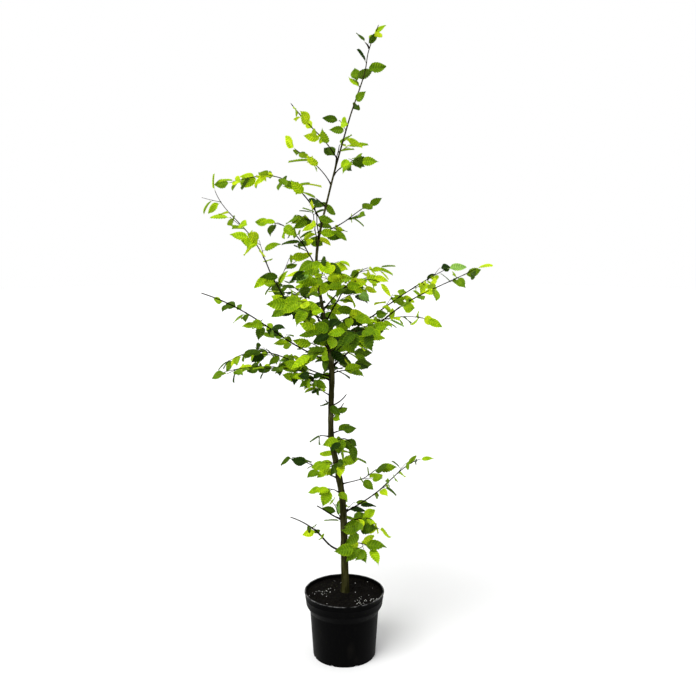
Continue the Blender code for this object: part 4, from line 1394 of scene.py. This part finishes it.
def pot_profile():
    """The pot's (radius, height, rounding) from the middle of its floor over the rim to the
    middle of its base."""
    collar = COLLAR_FOOT_HEIGHT
    bead = COLLAR_TOP_RADIUS - 0.9 * MM
    return [
        (0, POT_FLOOR, 0),
        (inside_radius(POT_FLOOR), POT_FLOOR, 2 * MM),
        (WAIST_RADIUS - POT_WALL, WAIST_HEIGHT, 4 * MM),
        (COLLAR_FOOT_RADIUS - POT_WALL, collar, 3 * MM),
        (COLLAR_TOP_RADIUS - POT_WALL, POT_HEIGHT, 1 * MM),
        (RIM_RADIUS, POT_HEIGHT, 2 * MM),
        (RIM_RADIUS, POT_HEIGHT - RIM_DEPTH, 1.5 * MM),
        (COLLAR_TOP_RADIUS, POT_HEIGHT - RIM_DEPTH - 0.5 * MM, 1 * MM),
        (bead, collar + 26 * MM, 0),
        (bead + 0.7 * MM, collar + 24.5 * MM, 0),
        (COLLAR_TOP_RADIUS - 1.2 * MM, collar + 23 * MM, 0),
        (COLLAR_FOOT_RADIUS, collar, 3 * MM),
        (WAIST_RADIUS, WAIST_HEIGHT, 4 * MM),
        (BASE_RADIUS, 0, 3 * MM),
        (BASE_RADIUS - 14 * MM, 0, 1 * MM),
        (BASE_RADIUS - 17 * MM, 1.5 * MM, 1 * MM),
        (0, 1.5 * MM, 0),
    ]


def make_pot():
    """The pot: tapered wall, wider collar with a bead, rolled rim, drainage notches."""
    pot = turned("pot_shell", rounded_profile(pot_profile()), POT_SIDES)
    notches = new_home("drainage notches")
    size = {"radius1": NOTCH_RADIUS, "radius2": NOTCH_RADIUS, "depth": NOTCH_DEPTH}
    for index in range(NOTCHES):
        angle = math.tau * (index + 0.5) / NOTCHES
        notch = bmesh.new()
        bmesh.ops.create_cone(notch, cap_ends=True, segments=NOTCH_SIDES, **size)
        x, y = BASE_RADIUS * math.cos(angle), BASE_RADIUS * math.sin(angle)
        turn = Matrix.Rotation(angle, 4, "Z") @ Matrix.Rotation(math.pi / 2, 4, "Y")
        notch.transform(Matrix.Translation((x, y, 0)) @ turn)
        hidden_from(notch, "drainage notch", notches)
    cut = pot.modifiers.new("Drainage", "BOOLEAN")
    cut.operation = "DIFFERENCE"
    cut.operand_type = "COLLECTION"
    cut.collection = notches
    make_plain(pot)
    clear_home(notches)
    shade(pot, pot_plastic(), POT_CREASE)
    fit_piece(pot, "pot_plastic", "pot")


def compost_height(place):
    """How far the compost stands above its level at one place."""
    spot = Vector((place.x, place.y, LUMPS_LEVEL))
    lumps = sum(depth * noise.noise(spot * scale) for depth, scale in LUMPS)
    off_trunk = (place.xy - trunk_point(TRUNK_FOOT).xy).length
    return lumps + MOUND_HEIGHT * math.exp(-((off_trunk - MOUND_RADIUS) / MOUND_WIDTH) ** 2)


def make_compost():
    """The compost, lumpy on top, with crumbs, pale grit and a little moss strewn over it."""
    gap = 2 * SEAT
    edge = inside_radius(COMPOST_TOP) - gap
    foot = POT_FLOOR + gap
    profile = [(edge * ring / COMPOST_RINGS, COMPOST_TOP) for ring in range(COMPOST_RINGS + 1)]
    profile += [(radius - POT_WALL - gap, height) for radius, height in WALL[2:0:-1]]
    profile += [(inside_radius(POT_FLOOR) - gap, foot), (0, foot)]
    compost = make_plain(turned("compost_bed", profile, COMPOST_SIDES))
    for corner in compost.data.vertices:
        if corner.co.z > COMPOST_TOP - MM:
            share = min(1, (edge - corner.co.xy.length) / COMPOST_EDGE)
            corner.co.z += compost_height(corner.co) * share
    shade(compost, soil(*COMPOST), COMPOST_CREASE)

    tree = crumb_tree()
    lumps = crumb_patterns("lump", flatness=0.75)
    chips = crumb_patterns("chip", flatness=0.30)
    crumb, grit, moss = soil(*CRUMB), soil(*GRIT), soil(*MOSS)
    # Name, patterns, crumbs per m2, patchiness, places, smallest and largest in mm, seed, finish
    kinds = (
        ("compost_crumbs", lumps, 42000.0, 0.0, ALL_OVER, 1.0, 4.2, 3, crumb),
        ("compost_chips", chips, 5200.0, 0.0, ALL_OVER, 3.0, 9.0, 8, crumb),
        ("pale_grit", lumps, 6500.0, 0.96, GRIT_PLACES, 1.6, 5.2, 5, grit),
        ("moss_crumbs", lumps, 9000.0, 1.0, MOSS_PLACES, 1.5, 4.5, 6, moss),
    )
    for name, patterns, density, patchiness, places, smallest, largest, seed, finish in kinds:
        values = {"Patterns": patterns, "Crumbs per m2": density, "Patchiness": patchiness}
        values |= {"First Patch": places[0], "Second Patch": places[1]}
        values |= {"Patch Radius": PATCH_RADIUS, "Seed": seed, "Finish": finish}
        values |= {"Smallest": smallest * MM, "Largest": largest * MM}
        fit_piece(grown(name, compost.data.copy(), tree, values), "compost")
    fit_piece(compost, "compost", "compost")
    clear_home(lumps)
    clear_home(chips)


# The tree's pieces

def make_tree():
    tree = Hornbeam()
    foliage = sorted(name for name in frame["nodes"] if name.startswith("foliage_"))
    boughs = sorted(name for name in frame["nodes"] if name.startswith("bough_"))
    limbs = limb_tree()
    # Name, lines, sides, relief for the radius, its scale, bark, and the nodes replaced
    kinds = (
        ("trunk_bark", tree.trunk, TRUNK_SIDES, 0.24, 60.0, TRUNK_BARK, ["trunk"]),
        ("bough_bark", tree.boughs, BOUGH_SIDES, 0.22, 110.0, BOUGH_BARK, boughs),
        ("twigs", tree.twigs, TWIG_SIDES, 0.20, 160.0, TWIG_BARK, foliage),
    )
    for name, lines, sides, relief, scale, finish, nodes in kinds:
        values = {"Sides": sides, "Relief": relief, "Relief Scale": scale, "Bark": bark(*finish)}
        fit_piece(grown(name, lines_mesh(name, lines), limbs, values), "bark", *nodes)

    sprouting = sprouting_tree()
    home = new_home("patterns")
    leaf = leaf_pattern(home)
    for tint in (*GREENS, MINT):
        name, colour, slot = tint
        points = sprout_points(f"leaves_{name}", tree.leaves[tint])
        values = {"Pattern": leaf, "Soft": False, "Finish": leaf_finish(name, colour)}
        fit_piece(grown(f"leaves_{name}", points, sprouting, values), slot, *foliage)
    values = {"Pattern": bud_pattern(home), "Soft": True, "Finish": bark(*BUD_BARK)}
    buds = grown("buds", sprout_points("buds", tree.buds), sprouting, values)
    fit_piece(buds, "bark", *foliage)
    clear_home(home)
    count = sum(len(leaves) for leaves in tree.leaves.values())
    print(f"{count} leaves, {len(tree.buds)} buds")


# Studio

def make_studio():
    """A pale floor, light from all round, one soft sun from the upper left, and the camera."""
    bpy.ops.mesh.primitive_circle_add(
        vertices=FLOOR_SIDES, radius=FLOOR_RADIUS, fill_type="NGON", location=(0, 0, 0)
    )
    floor = bpy.context.object
    floor.name = "floor"
    floor.data.materials.append(Finish("floor", (0.90, 0.90, 0.90), 0.8).material)

    world = bpy.data.worlds.new("studio")
    world.use_nodes = True
    wires = Wiring(world.node_tree)
    background = world.node_tree.nodes["Background"].inputs
    up = wires.parts(wires.coordinates("Generated"))["Z"]
    sky = wires.mix(wires.ramp(up, *OVERHEAD), ROUND_LIGHT, OVERHEAD_LIGHT)
    wires.put(sky, background["Color"])
    background["Strength"].default_value = 1.0

    lamp = bpy.data.lights.new("soft key light", "SUN")
    lamp.energy = SUN_POWER
    lamp.angle = math.radians(SUN_WIDTH)
    light = add_piece("soft key light", lamp)
    light.rotation_euler = SUN_AIM.to_track_quat("-Z", "Y").to_euler()

    lens = bpy.data.cameras.new("camera")
    lens.sensor_width = SENSOR
    lens.lens = SENSOR * FOCAL_PIXELS / PHOTO_PIXELS
    camera = add_piece("camera", lens)
    camera.location = CAMERA_PLACE
    camera.rotation_euler = (math.radians(90 - CAMERA_TILT), 0, 0)
    scene = bpy.context.scene
    scene.world = world
    scene.camera = camera
    scene.view_settings.view_transform = "Standard"


make_studio()
make_pot()
make_compost()
make_tree()
